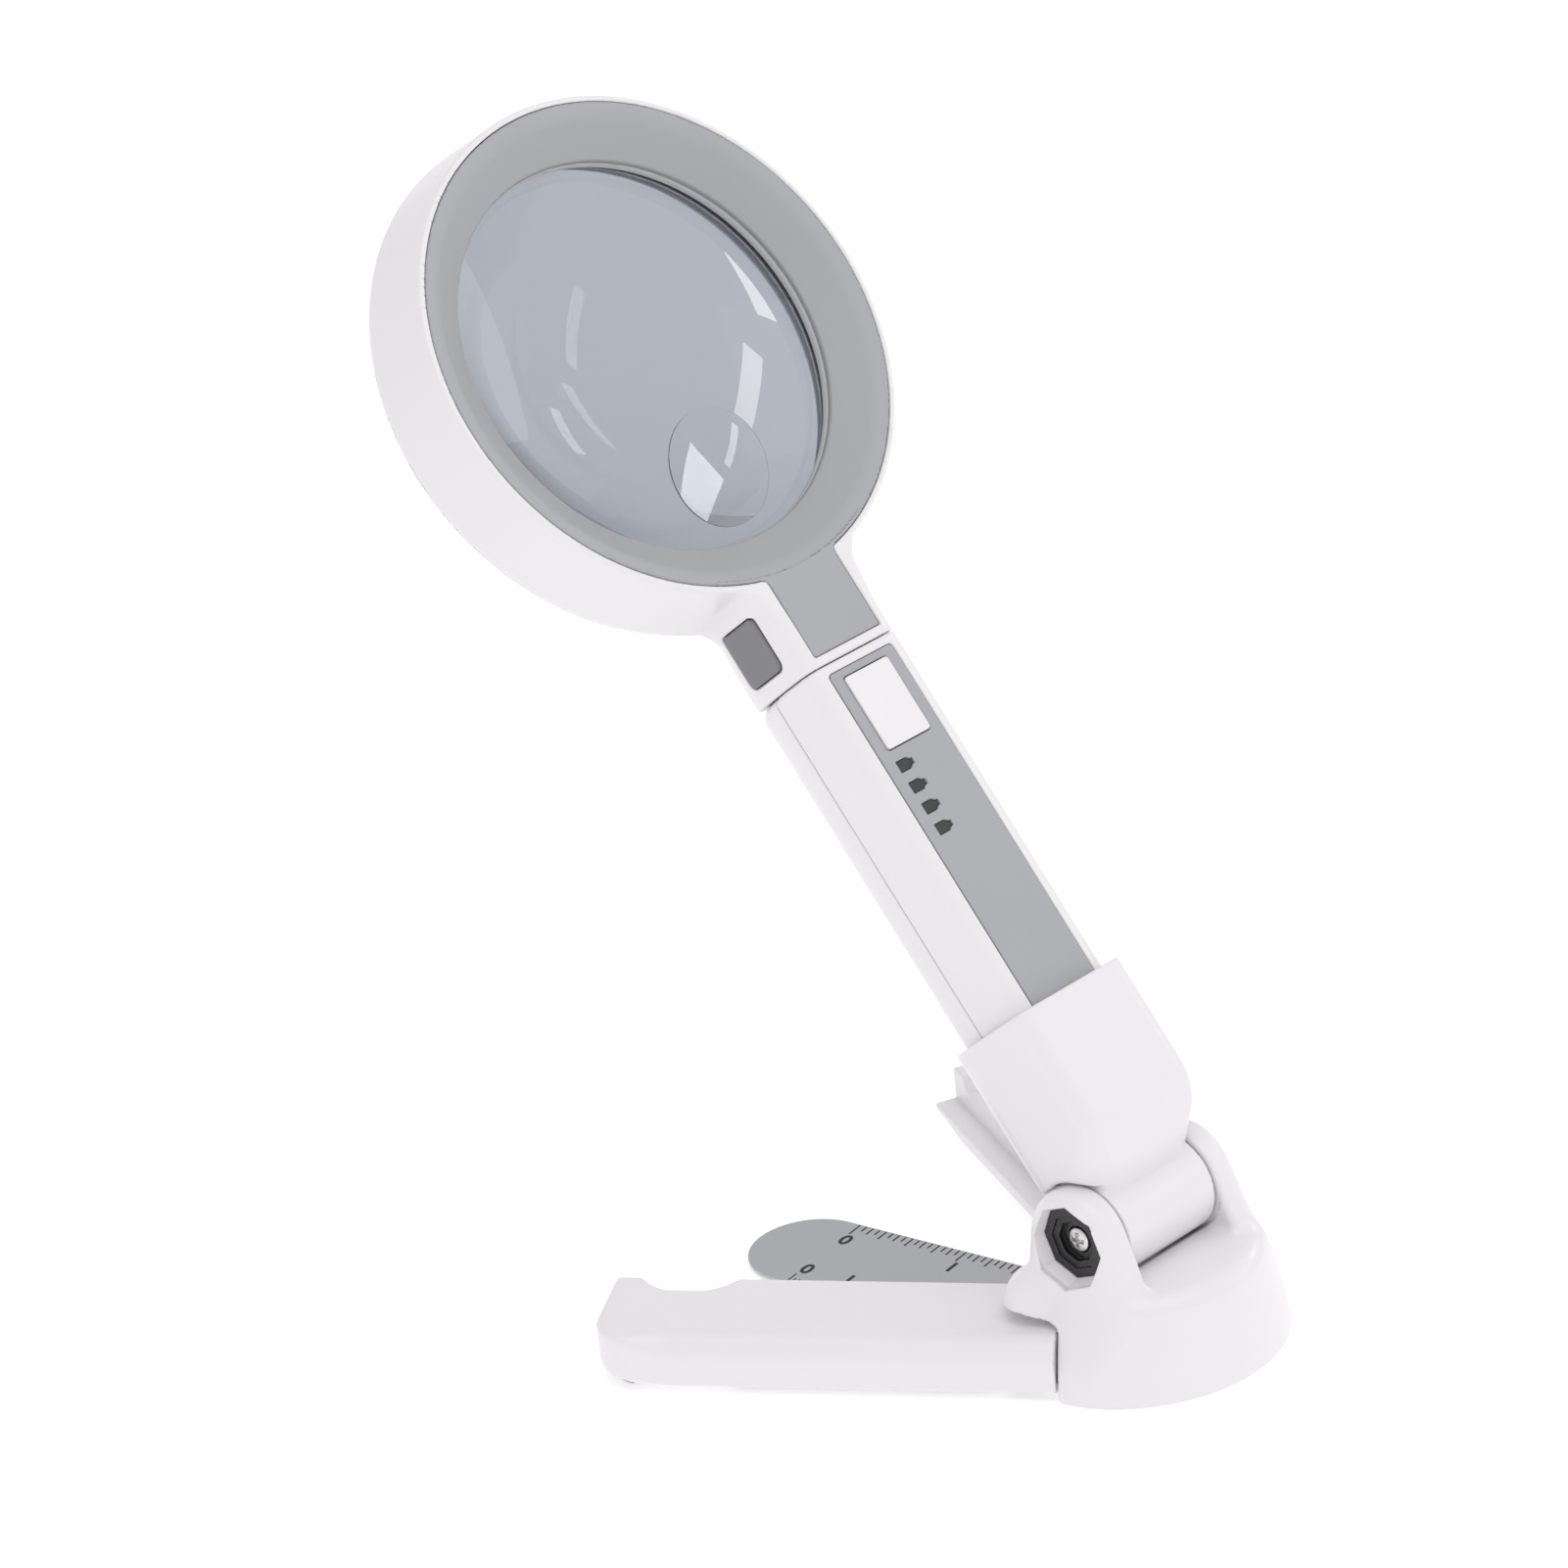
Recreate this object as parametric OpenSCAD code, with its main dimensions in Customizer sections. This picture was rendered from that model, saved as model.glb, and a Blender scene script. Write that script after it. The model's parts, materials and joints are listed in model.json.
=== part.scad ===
// Low vision magnifier: a lighted hand magnifier standing in the socket of a folding two-legged stand.
// Row frame: +X is the user's right, along the tilt axis; +Y points away from the user, towards the
// legs; +Z is up. The origin is on the floor, straight under the tilt axis.

/* [Stand] */
// Height of the tilt axis above the floor
pivot_z = 28; // [24:0.5:34]
// Radius of the stand body at the floor
drum_r = 29.9; // [28:0.1:34]
// Forward offset of the stand body's centre from the tilt axis
drum_y = 3; // [0:0.5:6]
// Height of the ledge in front of the barrel
ledge_z = 20; // [17:0.5:20]
// Half of the gap between the two ears
gap_x = 12.5; // [12.5:0.1:14]
// Outer face of the ears
ear_x = 19.6; // [19:0.1:21]
// Radius of the ears' round tops
ear_r = 10.4; // [9.8:0.1:10.5]

/* [Legs] */
// Sideways distance of each leg's hinge from the middle
hinge_x = 11.9; // [11.9:0.1:13]
// Forward position of the leg hinges
hinge_y = 3; // [0:0.5:6]
// Length of a leg from its hinge
leg_len = 93.8; // [80:0.2:110]
// Leg width outside the hinge axis
leg_out = 17; // [14:0.5:17.5]
// Leg width inside the hinge axis
leg_in = 11.6; // [11:0.1:11.7]
// Height of a leg's top
leg_top = 11.8; // [11:0.1:12]
// Height of the step along a leg's inner side
leg_step = 4.8; // [4:0.1:7]
// Resting angle of the left leg from +Y
left_open = 31; // [0:1:31]
// Resting angle of the right leg from +Y
right_open = 25.5; // [0:0.5:31]

/* [Magnifier] */
// Lean of the handle from upright, towards the legs
tilt = 38; // [-15:1:90]
// Half width of the handle
grip_r = 12.5; // [11.5:0.1:13.5]
// Handle face in front of the tilt axis
grip_front = 16.2; // [15:0.1:18]
// Lower end of the handle, from the tilt axis
grip_s0 = 13.4; // [13.4:0.1:16]
// Seam between handle and head, from the tilt axis
seam_s = 116; // [110:0.5:125]
// Centre of the lens, from the tilt axis
lens_s = 184.6; // [180:0.1:190]
// Clear radius of the bezel
bezel_in = 40.3; // [38:0.1:41]
// Outer radius of the bezel
bezel_out = 50.1; // [49:0.1:50.2]
// Radius of the lens's surfaces
lens_curve = 130; // [110:5:180]
// Number of LEDs round the lens
led_count = 10; // [6:1:14]

/* [Hidden] */
$fn = 96;

play = 0.2;                    // air between two parts of one body
run = 0.05;                    // radial clearance of a turning fit
wall = 1.8;                    // moulded wall
far = 200;                     // longer than any cut needs
grip_cy = -2;                  // centre of the handle's round back, in front of the tilt axis
grip_corner = 3.5;             // rounding of the handle's two front edges
parting = 3;                   // front and back shells meet this far in front of the tilt axis
socket_top = 41.3;
socket_wall = 2.1;
socket_play = 0.25;
barrel_r = 9.7;
barrel_x = 12.1;
socket_s0 = 10.8;              // the sleeve's underside, just clear of the ears' round tops
bolt_r = 1.6;
leg_z0 = 1.6;                  // underside of the legs, above the ruler
knuckle_z0 = 3.4;              // underside of the knuckles, above the base cover
knuckle_r = 11.6;
heel_y = 3.8;                  // a leg is wider than its knuckle from here on
skirt = 1.1;                   // lip that closes the leg's outer side below the knuckle
leg_swing = 31;                // a leg's whole travel from straight back
leg_end_r = 9;                 // round outer corner of a leg's end
bay_z = 12.2;                  // roof over the legs' swing
pin_r = 3;
octagon_r = 8.5;               // pocket in the left ear, across the corners
octagon_deep = 5.4;            // to the pocket's floor
cup_thick = 1.9;
nut_pocket_r = 4.4;            // pocket in the right ear, for the nut
nut_pocket_deep = 4.2;
back_floor_z = 14.2;           // floor behind the barrel, which the sleeve tips down to
barrel_floor_z = 17.2;
ledge_back = 15.5;             // rear face of the stand body
head_back = -3.8;              // rear face of the head, from the tilt axis plane
face_t = 16.2;                 // front face of the head
shell_in = 50.3;
head_r = 53.2;                 // the ring's outside, near its back
neck_slope_s = 117.5;          // where the neck's back starts to slope
tab_w = 17.8;                  // grey tongue that the bezel sends down the neck
tab_s = 118;
panel_w = 17.2;
panel_s0 = 36;
panel_s1 = 113.8;
button_w = 11.7;
button_l = 15.9;
button_s = 104.1;
window_x = -4.5;
window_s = 92.4;
window_pitch = 4.57;
window_count = 4;
case_screw_s = [18, 93.6];      // the two case screws, along the handle
lens_edge_r = 42.3;
lens_t = 5;                    // middle plane of the lens
lens_edge = 1.6;               // half the lens's edge thickness
inset_drop = 25.6;             // inset lens, below the middle of the main lens
inset_r = 11.7;
led_ring = 47.4;
rel_s0 = 119.6;                // release buttons: lower end, upper end, back and front
rel_s1 = 131;
rel_t0 = -0.5;
rel_t1 = 10.6;
screw_spots = [[-21, -8.5], [21, -8.5], [0, -21.5]];   // screws of the base cover
ruler_w = 25;
ruler_z = 0.5;
ruler_thick = 0.6;
ruler_root = 6;                // radius of its round inner end
ruler_pivot = [-3, 8];
ruler_len = 81.4;
ruler_open = 7.5;              // resting angle of the ruler, left of +Y

// ---- places and shared shapes ------------------------------------------------------------------

// Magnifier parts: x across, y towards the back, z along the handle, all from the tilt axis.
module on_handle() { translate([0, 0, pivot_z]) rotate([-tilt, 0, 0]) children(); }

// Parts round the lens: z points out of the lens's front face.
module on_lens() { on_handle() translate([0, 0, lens_s]) rotate([90, 0, 0]) children(); }

// A leg's frame: y runs along the leg, x points outwards on the right leg.
module on_hinge(side, angle) {
    translate([side * hinge_x, hinge_y, 0]) rotate([0, 0, -side * angle])
        mirror([side < 0 ? 1 : 0, 0, 0]) children();
}

// Section of the handle: flat front, round back. A positive inset shrinks it.
module grip_section(inset = 0) {
    r = grip_r - inset;
    f = grip_front - inset;
    c = max(grip_corner - inset, 0.8);
    translate([0, grip_cy]) circle(r);
    translate([-r, c - f]) square([2 * r, f - c + grip_cy]);
    translate([c - r, -f]) square([2 * (r - c), 2 * c]);
    for (x = [c - r, r - c]) translate([x, c - f]) circle(c);
}

module grip_solid(s0, s1, inset = 0) {
    translate([0, 0, s0]) linear_extrude(s1 - s0) grip_section(inset);
}

// A box on the handle, given by its middle in x, and its spans forward of the axis and along it.
module grip_box(width, t0, t1, s0, s1, x = 0) {
    translate([x - width / 2, -t1, s0]) cube([width, t1 - t0, s1 - s0]);
}

// Outline of the stand body as a solid of revolution.
module drum() {
    translate([0, drum_y, 0]) rotate_extrude()
        polygon([[0, 0], [drum_r, 0], [drum_r - 0.2, 2.5], [drum_r - 1.3, 9], [drum_r - 2.9, 16],
            [drum_r - 5.1, 23.5], [drum_r - 8.3, 36], [drum_r - 10, 40], [0, 40]]);
}

// Front view of the stand body: straight beside the ears, spreading to the floor like a skirt.
module side_profile() {
    half = [[drum_r, 0], [drum_r - 0.4, 3], [26.6, 9], [23.2, 16], [21.1, 22], [ear_x, 27], [ear_x, 50]];
    polygon([for (p = half) p, for (k = [len(half) - 1 : -1 : 0]) [-half[k][0], half[k][1]]]);
}

// Side view of an ear: a round top with two flanks that lean outwards, the front one more.
module ear_profile(front = 20, rear = 3) {
    drop = pivot_z - bay_z + 1;
    circle(ear_r);
    polygon([
        [-ear_r / cos(front) - drop * tan(front), -drop],
        [-ear_r * cos(front), ear_r * sin(front)],
        [ear_r * cos(rear), ear_r * sin(rear)],
        [ear_r / cos(rear) + drop * tan(rear), -drop]]);
}

// Plan of the space that one leg sweeps, from y0 along it, with air all round.
module leg_sweep(side, y0, out = leg_out) {
    air = 0.4;
    for (a = [0 : leg_swing / 4 : leg_swing]) translate([side * hinge_x, hinge_y]) rotate(-side * a)
        mirror([side < 0 ? 1 : 0, 0]) translate([-leg_in - air, y0]) square([leg_in + out + 2 * air, far]);
}

module x_cylinder(r, x0, x1, y = 0, z = 0) {
    translate([x0, y, z]) rotate([0, 90, 0]) cylinder(r = r, h = x1 - x0);
}

module octagon(r, x0, x1) {
    translate([x0, 0, pivot_z]) rotate([0, 90, 0]) cylinder(r = r, h = x1 - x0, $fn = 8);
}

// ---- stand -------------------------------------------------------------------------------------

module stand_body() {
    color("whitesmoke") difference() {
        intersection() {
            drum();
            rotate([90, 0, 0]) linear_extrude(far, center = true) side_profile();
            union() {
                rotate([90, 0, 90]) linear_extrude(far, center = true)
                    polygon([[-far, 0], [ledge_back, 0], [ledge_back, ledge_z - 6],
                        [ledge_back - 2.1, ledge_z], [-far, ledge_z]]);
                for (x = [-ear_x, gap_x]) translate([x, 0, pivot_z]) rotate([90, 0, 90])
                    linear_extrude(ear_x - gap_x) ear_profile();
            }
        }
        // trough of the barrel, and the low floor behind it that the sleeve tips down to
        x_cylinder(barrel_r + 0.6, -gap_x, gap_x, 0, pivot_z);
        translate([-gap_x - 3, ear_r - 0.5, back_floor_z]) cube([2 * gap_x + 6, far, far]);
        translate([-gap_x, 2, barrel_floor_z]) cube([2 * gap_x, far, far]);
        // leg bay and the knuckles' pockets
        translate([0, 0, -1]) linear_extrude(bay_z + 1) for (s = [-1, 1]) {
            leg_sweep(s, heel_y - 0.4);
            leg_sweep(s, 0, knuckle_r);
            translate([s * hinge_x, hinge_y]) circle(knuckle_r + 0.4);
            translate([s * hinge_x, hinge_y]) rotate(-s * leg_swing)
                translate([s > 0 ? 0 : -far, heel_y - 0.4]) square(far);
        }
        // hollow behind the front wall, for the ballast
        translate([-17, -16.9, -1]) cube([34, 8, 17.5]);
        // seat of the base cover
        translate([0, 0, -1]) linear_extrude(knuckle_z0 + 0.8) cover_plan(-play);
        // bores
        x_cylinder(bolt_r + run, -far / 2, far / 2, 0, pivot_z);
        octagon(octagon_r, -ear_x - 1, -ear_x + octagon_deep);
        octagon(nut_pocket_r, ear_x - nut_pocket_deep, ear_x + 1);
        for (s = [-1, 1]) translate([s * hinge_x, hinge_y, 0])
            cylinder(r = pin_r + play / 2, h = bay_z + 1.6);
        for (p = screw_spots) translate([p[0], p[1], 0]) cylinder(r = 1.25, h = 10);
    }
}

// Plan of the plate that closes the stand body underneath.
module cover_plan(inset = 0) {
    difference() {
        translate([0, drum_y]) circle(drum_r - 2.2 - inset);
        for (s = [-1, 1]) leg_sweep(s, 12.6 + inset);
    }
}

module base_cover() {
    color("gainsboro") difference() {
        translate([0, 0, 1.4]) linear_extrude(knuckle_z0 - 1.6) cover_plan();
        for (p = screw_spots) translate([p[0], p[1], 0]) cylinder(r = 1.7, h = 5);
        for (s = [-1, 1]) translate([s * hinge_x, hinge_y, 0]) cylinder(r = pin_r + play / 2, h = 5);
        translate([ruler_pivot[0], ruler_pivot[1], 0]) cylinder(r = 1.6, h = 5);
    }
}

module ballast_plate() {
    color("dimgray") translate([-16.7, -16.6, knuckle_z0 + 0.2]) cube([33.4, 7.4, 12.6]);
}

module base_pads() {
    color("dimgray") {
        cylinder(r = 2, h = 1.4);
        for (x = [-13.8, 13.8]) translate([x, -16.7, 0]) cylinder(r = 3, h = 1.4);
    }
}

module base_screws() {
    color("silver") for (p = screw_spots) translate([p[0], p[1], 0.4]) {
        cylinder(r = 2.6, h = 1);
        cylinder(r = 1.15, h = 8.6);
    }
}

module leg_pins() {
    color("silver") for (s = [-1, 1]) translate([s * hinge_x, hinge_y, 1.5])
        cylinder(r = pin_r, h = bay_z - 0.2);
}

// One leg in its own frame: knuckle, arm with a stepped inner side, and a finger scoop in the top.
module leg() {
    arm_y = 13.5;
    step_w = 4.5;
    scoop_deep = 2.7;
    difference() {
        union() {
            translate([0, 0, knuckle_z0]) {
                cylinder(r = knuckle_r - 0.1, h = leg_top - knuckle_z0);
                translate([-leg_in, 0, 0]) cube([leg_in + knuckle_r - 0.1, arm_y, leg_top - knuckle_z0]);
                translate([-leg_in, heel_y, 0])
                    cube([leg_in + leg_out, arm_y - heel_y, leg_top - knuckle_z0]);
            }
            translate([leg_out - skirt, heel_y, leg_z0]) cube([skirt, arm_y - heel_y, knuckle_z0]);
            translate([0, 0, leg_z0]) linear_extrude(leg_top - leg_z0) {
                translate([-leg_in, arm_y - 0.5]) square([leg_in + leg_out, leg_len - arm_y - leg_end_r]);
                leg_end_plan();
            }
        }
        translate([-leg_in - 1, arm_y, leg_step]) cube([step_w + 1, far, far]);
        // finger scoop
        translate([-15, leg_len - 14.9, leg_top - scoop_deep])
            cylinder(r1 = 9.4, r2 = 12.7, h = scoop_deep + 1);
        translate([0, 0, -1]) cylinder(r = pin_r + run, h = far);
        // hollow underside of the arm
        translate([-leg_in + 6.5, 17, -1]) cube([leg_in + leg_out - 8.5, leg_len - 17 - 27, leg_top - 1]);
        translate([0, 0, -1]) linear_extrude(3.7) foot_plan(0.9);
    }
}

// Plan of a leg's outer end, with its one round corner.
module leg_end_plan(inset = 0) {
    translate([-leg_in + inset, 20]) square([leg_in + leg_out - leg_end_r - inset, leg_len - 20 - inset]);
    translate([leg_out - leg_end_r, leg_len - leg_end_r]) circle(leg_end_r - inset);
    translate([leg_out - leg_end_r, 20]) square([leg_end_r - inset, leg_len - 20 - leg_end_r]);
}

// Plan of the pad under a leg's outer end, outside the ruler's reach.
module foot_plan(inset) {
    intersection() {
        leg_end_plan(inset);
        translate([3.1 + inset, leg_len - 8.7 + inset]) square(far);
    }
}

module leg_foot() {
    linear_extrude(2.6) foot_plan(1);
}

module leg_left() { color("white") on_hinge(-1, left_open) leg(); }
module leg_right() { color("white") on_hinge(1, right_open) leg(); }
module leg_foot_left() { color("dimgray") on_hinge(-1, left_open) leg_foot(); }
module leg_foot_right() { color("dimgray") on_hinge(1, right_open) leg_foot(); }

module ruler() {
    color("silver") translate([ruler_pivot[0], ruler_pivot[1], ruler_z]) rotate([0, 0, ruler_open])
        difference() {
            linear_extrude(ruler_thick) {
                circle(ruler_root);
                translate([-ruler_w / 2, 14]) square([ruler_w, ruler_len - 14 - ruler_w / 2]);
                polygon([[-ruler_root, 0], [ruler_root, 0], [ruler_w / 2, 14], [-ruler_w / 2, 14]]);
                translate([0, ruler_len - ruler_w / 2]) circle(ruler_w / 2);
            }
            translate([0, 0, -1]) cylinder(r = 1.5 + run, h = 3);
        }
}

module ruler_screw() {
    color("silver") translate([ruler_pivot[0], ruler_pivot[1], 0.05]) {
        cylinder(r = 3, h = 0.4);
        cylinder(r = 1.5, h = knuckle_z0 - 0.3);
    }
}

module tilt_screw() {
    floor_x = -ear_x + octagon_deep;
    color("silver") translate([0, 0, pivot_z]) difference() {
        union() {
            x_cylinder(bolt_r, floor_x - 0.1, ear_x - 1);
            x_cylinder(2.5, floor_x - 1.2, floor_x);
        }
        // cross recess
        for (a = [0, 90]) translate([floor_x - 1.2, 0, 0]) rotate([a, 0, 0])
            cube([1.4, 3, 0.7], center = true);
    }
}

module tilt_nut() {
    color("silver") difference() {
        translate([ear_x - 4, 0, pivot_z]) rotate([0, 90, 0]) cylinder(r = 3.2, h = 2.2, $fn = 6);
        x_cylinder(bolt_r + 0.02, 0, far, 0, pivot_z);
    }
}

module octagon_cup() {
    floor_x = -ear_x + octagon_deep;
    face_x = floor_x - cup_thick;
    color("black") difference() {
        octagon(octagon_r - play, face_x, floor_x);
        octagon(6, face_x - 1, face_x + 0.4);
        octagon(4.2, face_x - 1, face_x + 1.3);
        x_cylinder(2.7, -far, 0, 0, pivot_z);
    }
}

module tilt_washers() {
    color("gray") for (x = [-gap_x + 0.05, barrel_x + 0.05]) difference() {
        x_cylinder(6, x, x + gap_x - barrel_x - 0.1, 0, pivot_z);
        x_cylinder(bolt_r + 0.1, x - 1, x + 2, 0, pivot_z);
    }
}

// ---- socket ------------------------------------------------------------------------------------

module socket() {
    color("white") on_handle() difference() {
        union() {
            grip_solid(socket_s0, socket_top, -socket_wall - socket_play);
            x_cylinder(barrel_r, -barrel_x, barrel_x);
            translate([-barrel_x, 0, 0]) cube([2 * barrel_x, barrel_r, socket_s0 + 0.5]);
            // the front of the sleeve slopes down to the barrel
            intersection() {
                grip_solid(0, socket_s0 + 0.5, -socket_wall - socket_play);
                rotate([90, 0, 90]) linear_extrude(2 * barrel_x, center = true)
                    polygon([[0, 0], [-8.7, 4.2], [-grip_front - socket_wall, socket_s0 + 0.2],
                        [-grip_front - socket_wall, far], [0, far]]);
            }
        }
        grip_solid(grip_s0 - socket_play, far, -socket_play);
        x_cylinder(bolt_r + run, -far / 2, far / 2);
    }
}

// ---- handle ------------------------------------------------------------------------------------

module handle_case() {
    difference() {
        grip_solid(grip_s0, seam_s - play);
        grip_solid(grip_s0 + wall, seam_s - play - wall, wall);
        // plug opening at the top, charging opening at the bottom, overlay recess in the front
        grip_box(14.6, -4.3, 8.3, seam_s - 5, far);
        grip_box(9.4, 8.1, 11.9, 0, grip_s0 + 5);
        grip_box(panel_w + play, face_t - 1.1, far, panel_s0 - 0.1, panel_s1 + 0.1);
        grip_box(button_w + 0.4, 10, far, button_s - button_l / 2 - 0.2, button_s + button_l / 2 + 0.2);
        for (k = [0 : window_count - 1]) {
            s = window_s - k * window_pitch;
            grip_box(4.4, 10, far, s - 1.4, s + 1.4, window_x);
        }
    }
}

module handle_front_shell() {
    color("white") on_handle() difference() {
        union() {
            intersection() {
                handle_case();
                grip_box(far, parting, far, 0, far);
            }
            // bosses for the two case screws
            grip_box(5.6, parting, 7.7, grip_s0 + 1, 20.8);
            grip_box(4.4, parting, 14.8, 91.3, 95.8);
        }
        for (s = case_screw_s) translate([0, -6.7, s]) rotate([-90, 0, 0]) cylinder(r = 1.32, h = far);
    }
}

module handle_back_shell() {
    color("white") on_handle() difference() {
        handle_case();
        grip_box(far, parting - 0.05, far, 0, far);
        for (s = case_screw_s) translate([0, 0, s]) rotate([-90, 0, 0]) {
            cylinder(r = 1.5, h = far);
            translate([0, 0, 9.2]) cylinder(r = 2.6, h = far);
        }
    }
}

module control_panel() {
    color("darkgray") on_handle() difference() {
        grip_box(panel_w, face_t - 1, face_t, panel_s0, panel_s1);
        grip_box(button_w + 0.4, 0, far, button_s - button_l / 2 - 0.2, button_s + button_l / 2 + 0.2);
        for (k = [0 : window_count - 1]) indicator_window(k, 0.1, 0, far);
    }
}

// A little battery-shaped window: a cell with its cap to the right.
module indicator_window(k, grow, t0, t1) {
    s = window_s - k * window_pitch;
    grip_box(2.6 + 2 * grow, t0, t1, s - 1.1 - grow, s + 1.1 + grow, window_x);
    grip_box(0.7 + grow, t0, t1, s - 0.5 - grow, s + 0.5 + grow, window_x + 1.6 + grow / 2);
}

module charge_indicators() {
    color("dimgray") on_handle() for (k = [0 : window_count - 1])
        indicator_window(k, 0, face_t - 2, face_t - 0.1);
}

module power_button() {
    color("white") on_handle()
        grip_box(button_w, 14.2, face_t + 0.4, button_s - button_l / 2, button_s + button_l / 2);
}

module control_board() {
    color("seagreen") on_handle() difference() {
        grip_box(17, 9.9, 11.3, 62, 112);
        grip_box(5.2, 0, far, 90.9, 96.2);
    }
}

module power_switch() {
    color("black") on_handle() {
        grip_box(6, 11.3, 12.6, button_s - 3, button_s + 3);
        grip_box(3, 12.6, 13.1, button_s - 1.5, button_s + 1.5);
    }
}

module battery() {
    color("steelblue") on_handle() translate([0, -0.4, 0]) {
        translate([0, 0, 24]) cylinder(r = 9.1, h = 65);
        translate([0, 0, 89]) cylinder(r = 3, h = 1);
    }
}

module battery_contacts() {
    color("gold") on_handle() {
        grip_box(12, -4, 6, 23, 23.8);
        grip_box(12, -4, 6, 90.2, 91);
    }
}

module charge_port() {
    color("silver") on_handle() difference() {
        grip_box(9, 8.3, 11.7, grip_s0 + 0.2, 21);
        grip_box(8, 8.9, 11.1, 0, 19.5);
    }
}

module case_screws() {
    color("silver") on_handle() for (s = case_screw_s) translate([0, -6.5, s]) rotate([-90, 0, 0]) {
        cylinder(r = 1.3, h = 15.8);
        translate([0, 0, 15.8]) cylinder(r = 2.3, h = 0.9);
    }
}

module handle_terminals() {
    color("gold") on_handle() for (x = [-3, 3]) grip_box(2.4, 0.5, 2.5, 98.5, 101.4, x);
}

// ---- head --------------------------------------------------------------------------------------

// The head's ring wall, lens sleeve and the web that joins them, turned about the lens axis.
module head_ring() {
    rotate_extrude($fn = 128)
        polygon([[shell_in, face_t - 0.2], [51.4, face_t - 0.2], [51.8, 15.3], [head_r, 0.5], [head_r, -1.9],
            [shell_in, -1.9], [shell_in, 7.2], [44.1, 7.2], [44.1, -1.9], [42.5, -1.9], [42.5, 1.2],
            [40.8, 1.2], [40.8, 2.8], [42.5, 2.8], [42.5, 8.7], [shell_in, 8.7]]);
}

module neck_solid(inset = 0) {
    root_s = lens_s - shell_in;
    r = 4;
    // the neck's back slopes forward to meet the thinner ring
    intersection() {
        grip_solid(seam_s + inset, root_s + 8, inset);
        rotate([90, 0, 90]) linear_extrude(far, center = true) {
            depth = grip_r - grip_cy - inset;
            polygon([[-far, 0], [-far, far], [-head_back - inset, far],
                [-head_back - inset, root_s - 3 - inset], [depth, neck_slope_s - inset], [depth, 0]]);
        }
    }
    // round shoulders between neck and ring
    difference() {
        grip_box(2 * (grip_r + r) - 0.2, -1.9 + inset, face_t - 1.4 - inset, root_s - r, root_s + 7);
        for (x = [-1, 1]) translate([x * (grip_r + r), 0, root_s - r]) rotate([90, 0, 0])
            cylinder(r = r, h = far, center = true);
    }
}

module head_shell() {
    color("white") difference() {
        union() {
            on_lens() head_ring();
            on_handle() difference() {
                neck_solid();
                ring_clear(shell_in - 0.1);
                // room for the rear cover
                translate([0, 1.9, lens_s]) rotate([-90, 0, 0]) cylinder(r = head_r, h = far, $fn = 128);
            }
        }
        on_handle() {
            difference() {
                neck_solid(wall);
                grip_box(far, -far, far, lens_s - shell_in - 0.5, far);
            }
            grip_box(tab_w + play, face_t - 1.1, far, tab_s - 0.1, lens_s - 46);
            grip_box(14.4, -4.1, 8.1, 0, seam_s + 5);
            for (x = [-1, 1]) grip_box(6, rel_t0 - 0.2, rel_t1 + 0.2, rel_s0 - 0.2, rel_s1 + 0.2, x * grip_r);
        }
    }
}

// Clears a disc about the lens axis, in handle coordinates.
module ring_clear(r) {
    translate([0, 0, lens_s]) rotate([90, 0, 0]) cylinder(r = r, h = far, center = true, $fn = 128);
}

module head_back_cover() {
    color("white") on_lens() difference() {
        rotate_extrude($fn = 128)
            polygon([[40.8, -2], [53.1, -2], [52.6, -3.2], [51.6, head_back], [41.2, head_back],
                [40.8, -3.4]]);
        translate([0, 0, head_back - 1]) linear_extrude(2) difference() {
            circle(49.8, $fn = 128);
            circle(45, $fn = 128);
        }
        for (k = [0 : led_count - 1]) rotate(360 * (k + 0.5) / led_count) translate([led_ring, 0, -far / 2])
            cylinder(r = 1.9, h = far / 2 + 1, $fn = 24);
    }
}

module light_diffuser() {
    color("lightcyan") on_lens() rotate_extrude($fn = 128)
        polygon([[45.1, head_back], [49.7, head_back], [49.7, head_back + 0.9], [45.1, head_back + 0.9]]);
}

module bezel() {
    color("darkgray") {
        on_lens() rotate_extrude($fn = 128)
            polygon([[bezel_out, face_t - 0.2], [bezel_out - 1.6, face_t - 0.2], [bezel_in, 10.4],
                [bezel_in, 8.9], [44, 8.9], [49, 12.4], [bezel_out, 12.4]]);
        on_handle() difference() {
            grip_box(tab_w, face_t - 1, face_t, tab_s, lens_s - 46);
            ring_clear(bezel_out - 1.4);
        }
    }
}

// A biconvex lens with its rim ground to a cylinder.
module lens_blank(rim, curve, middle, edge) {
    steps = 12;
    function bulge(r) = sqrt(curve * curve - r * r) - sqrt(curve * curve - rim * rim);
    translate([0, 0, middle]) rotate_extrude($fn = 128) polygon([
        for (k = [0 : steps]) [rim * k / steps, edge + bulge(rim * k / steps)],
        for (k = [steps : -1 : 0]) [rim * k / steps, -edge - bulge(rim * k / steps)]]);
}

module main_lens() {
    color("lightsteelblue", 0.4) on_lens() difference() {
        lens_blank(lens_edge_r, lens_curve, lens_t, lens_edge);
        on_inset() translate([0, 0, -1.2]) cylinder(r = inset_r, h = far);
    }
}

// The inset lens's place: z points out of the main lens's front surface where the inset lens sits.
module on_inset() {
    flat = lens_t + lens_edge - sqrt(lens_curve * lens_curve - lens_edge_r * lens_edge_r);
    translate([0, 0, flat]) rotate([asin(inset_drop / lens_curve), 0, 0])
        translate([0, 0, lens_curve]) children();
}

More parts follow.
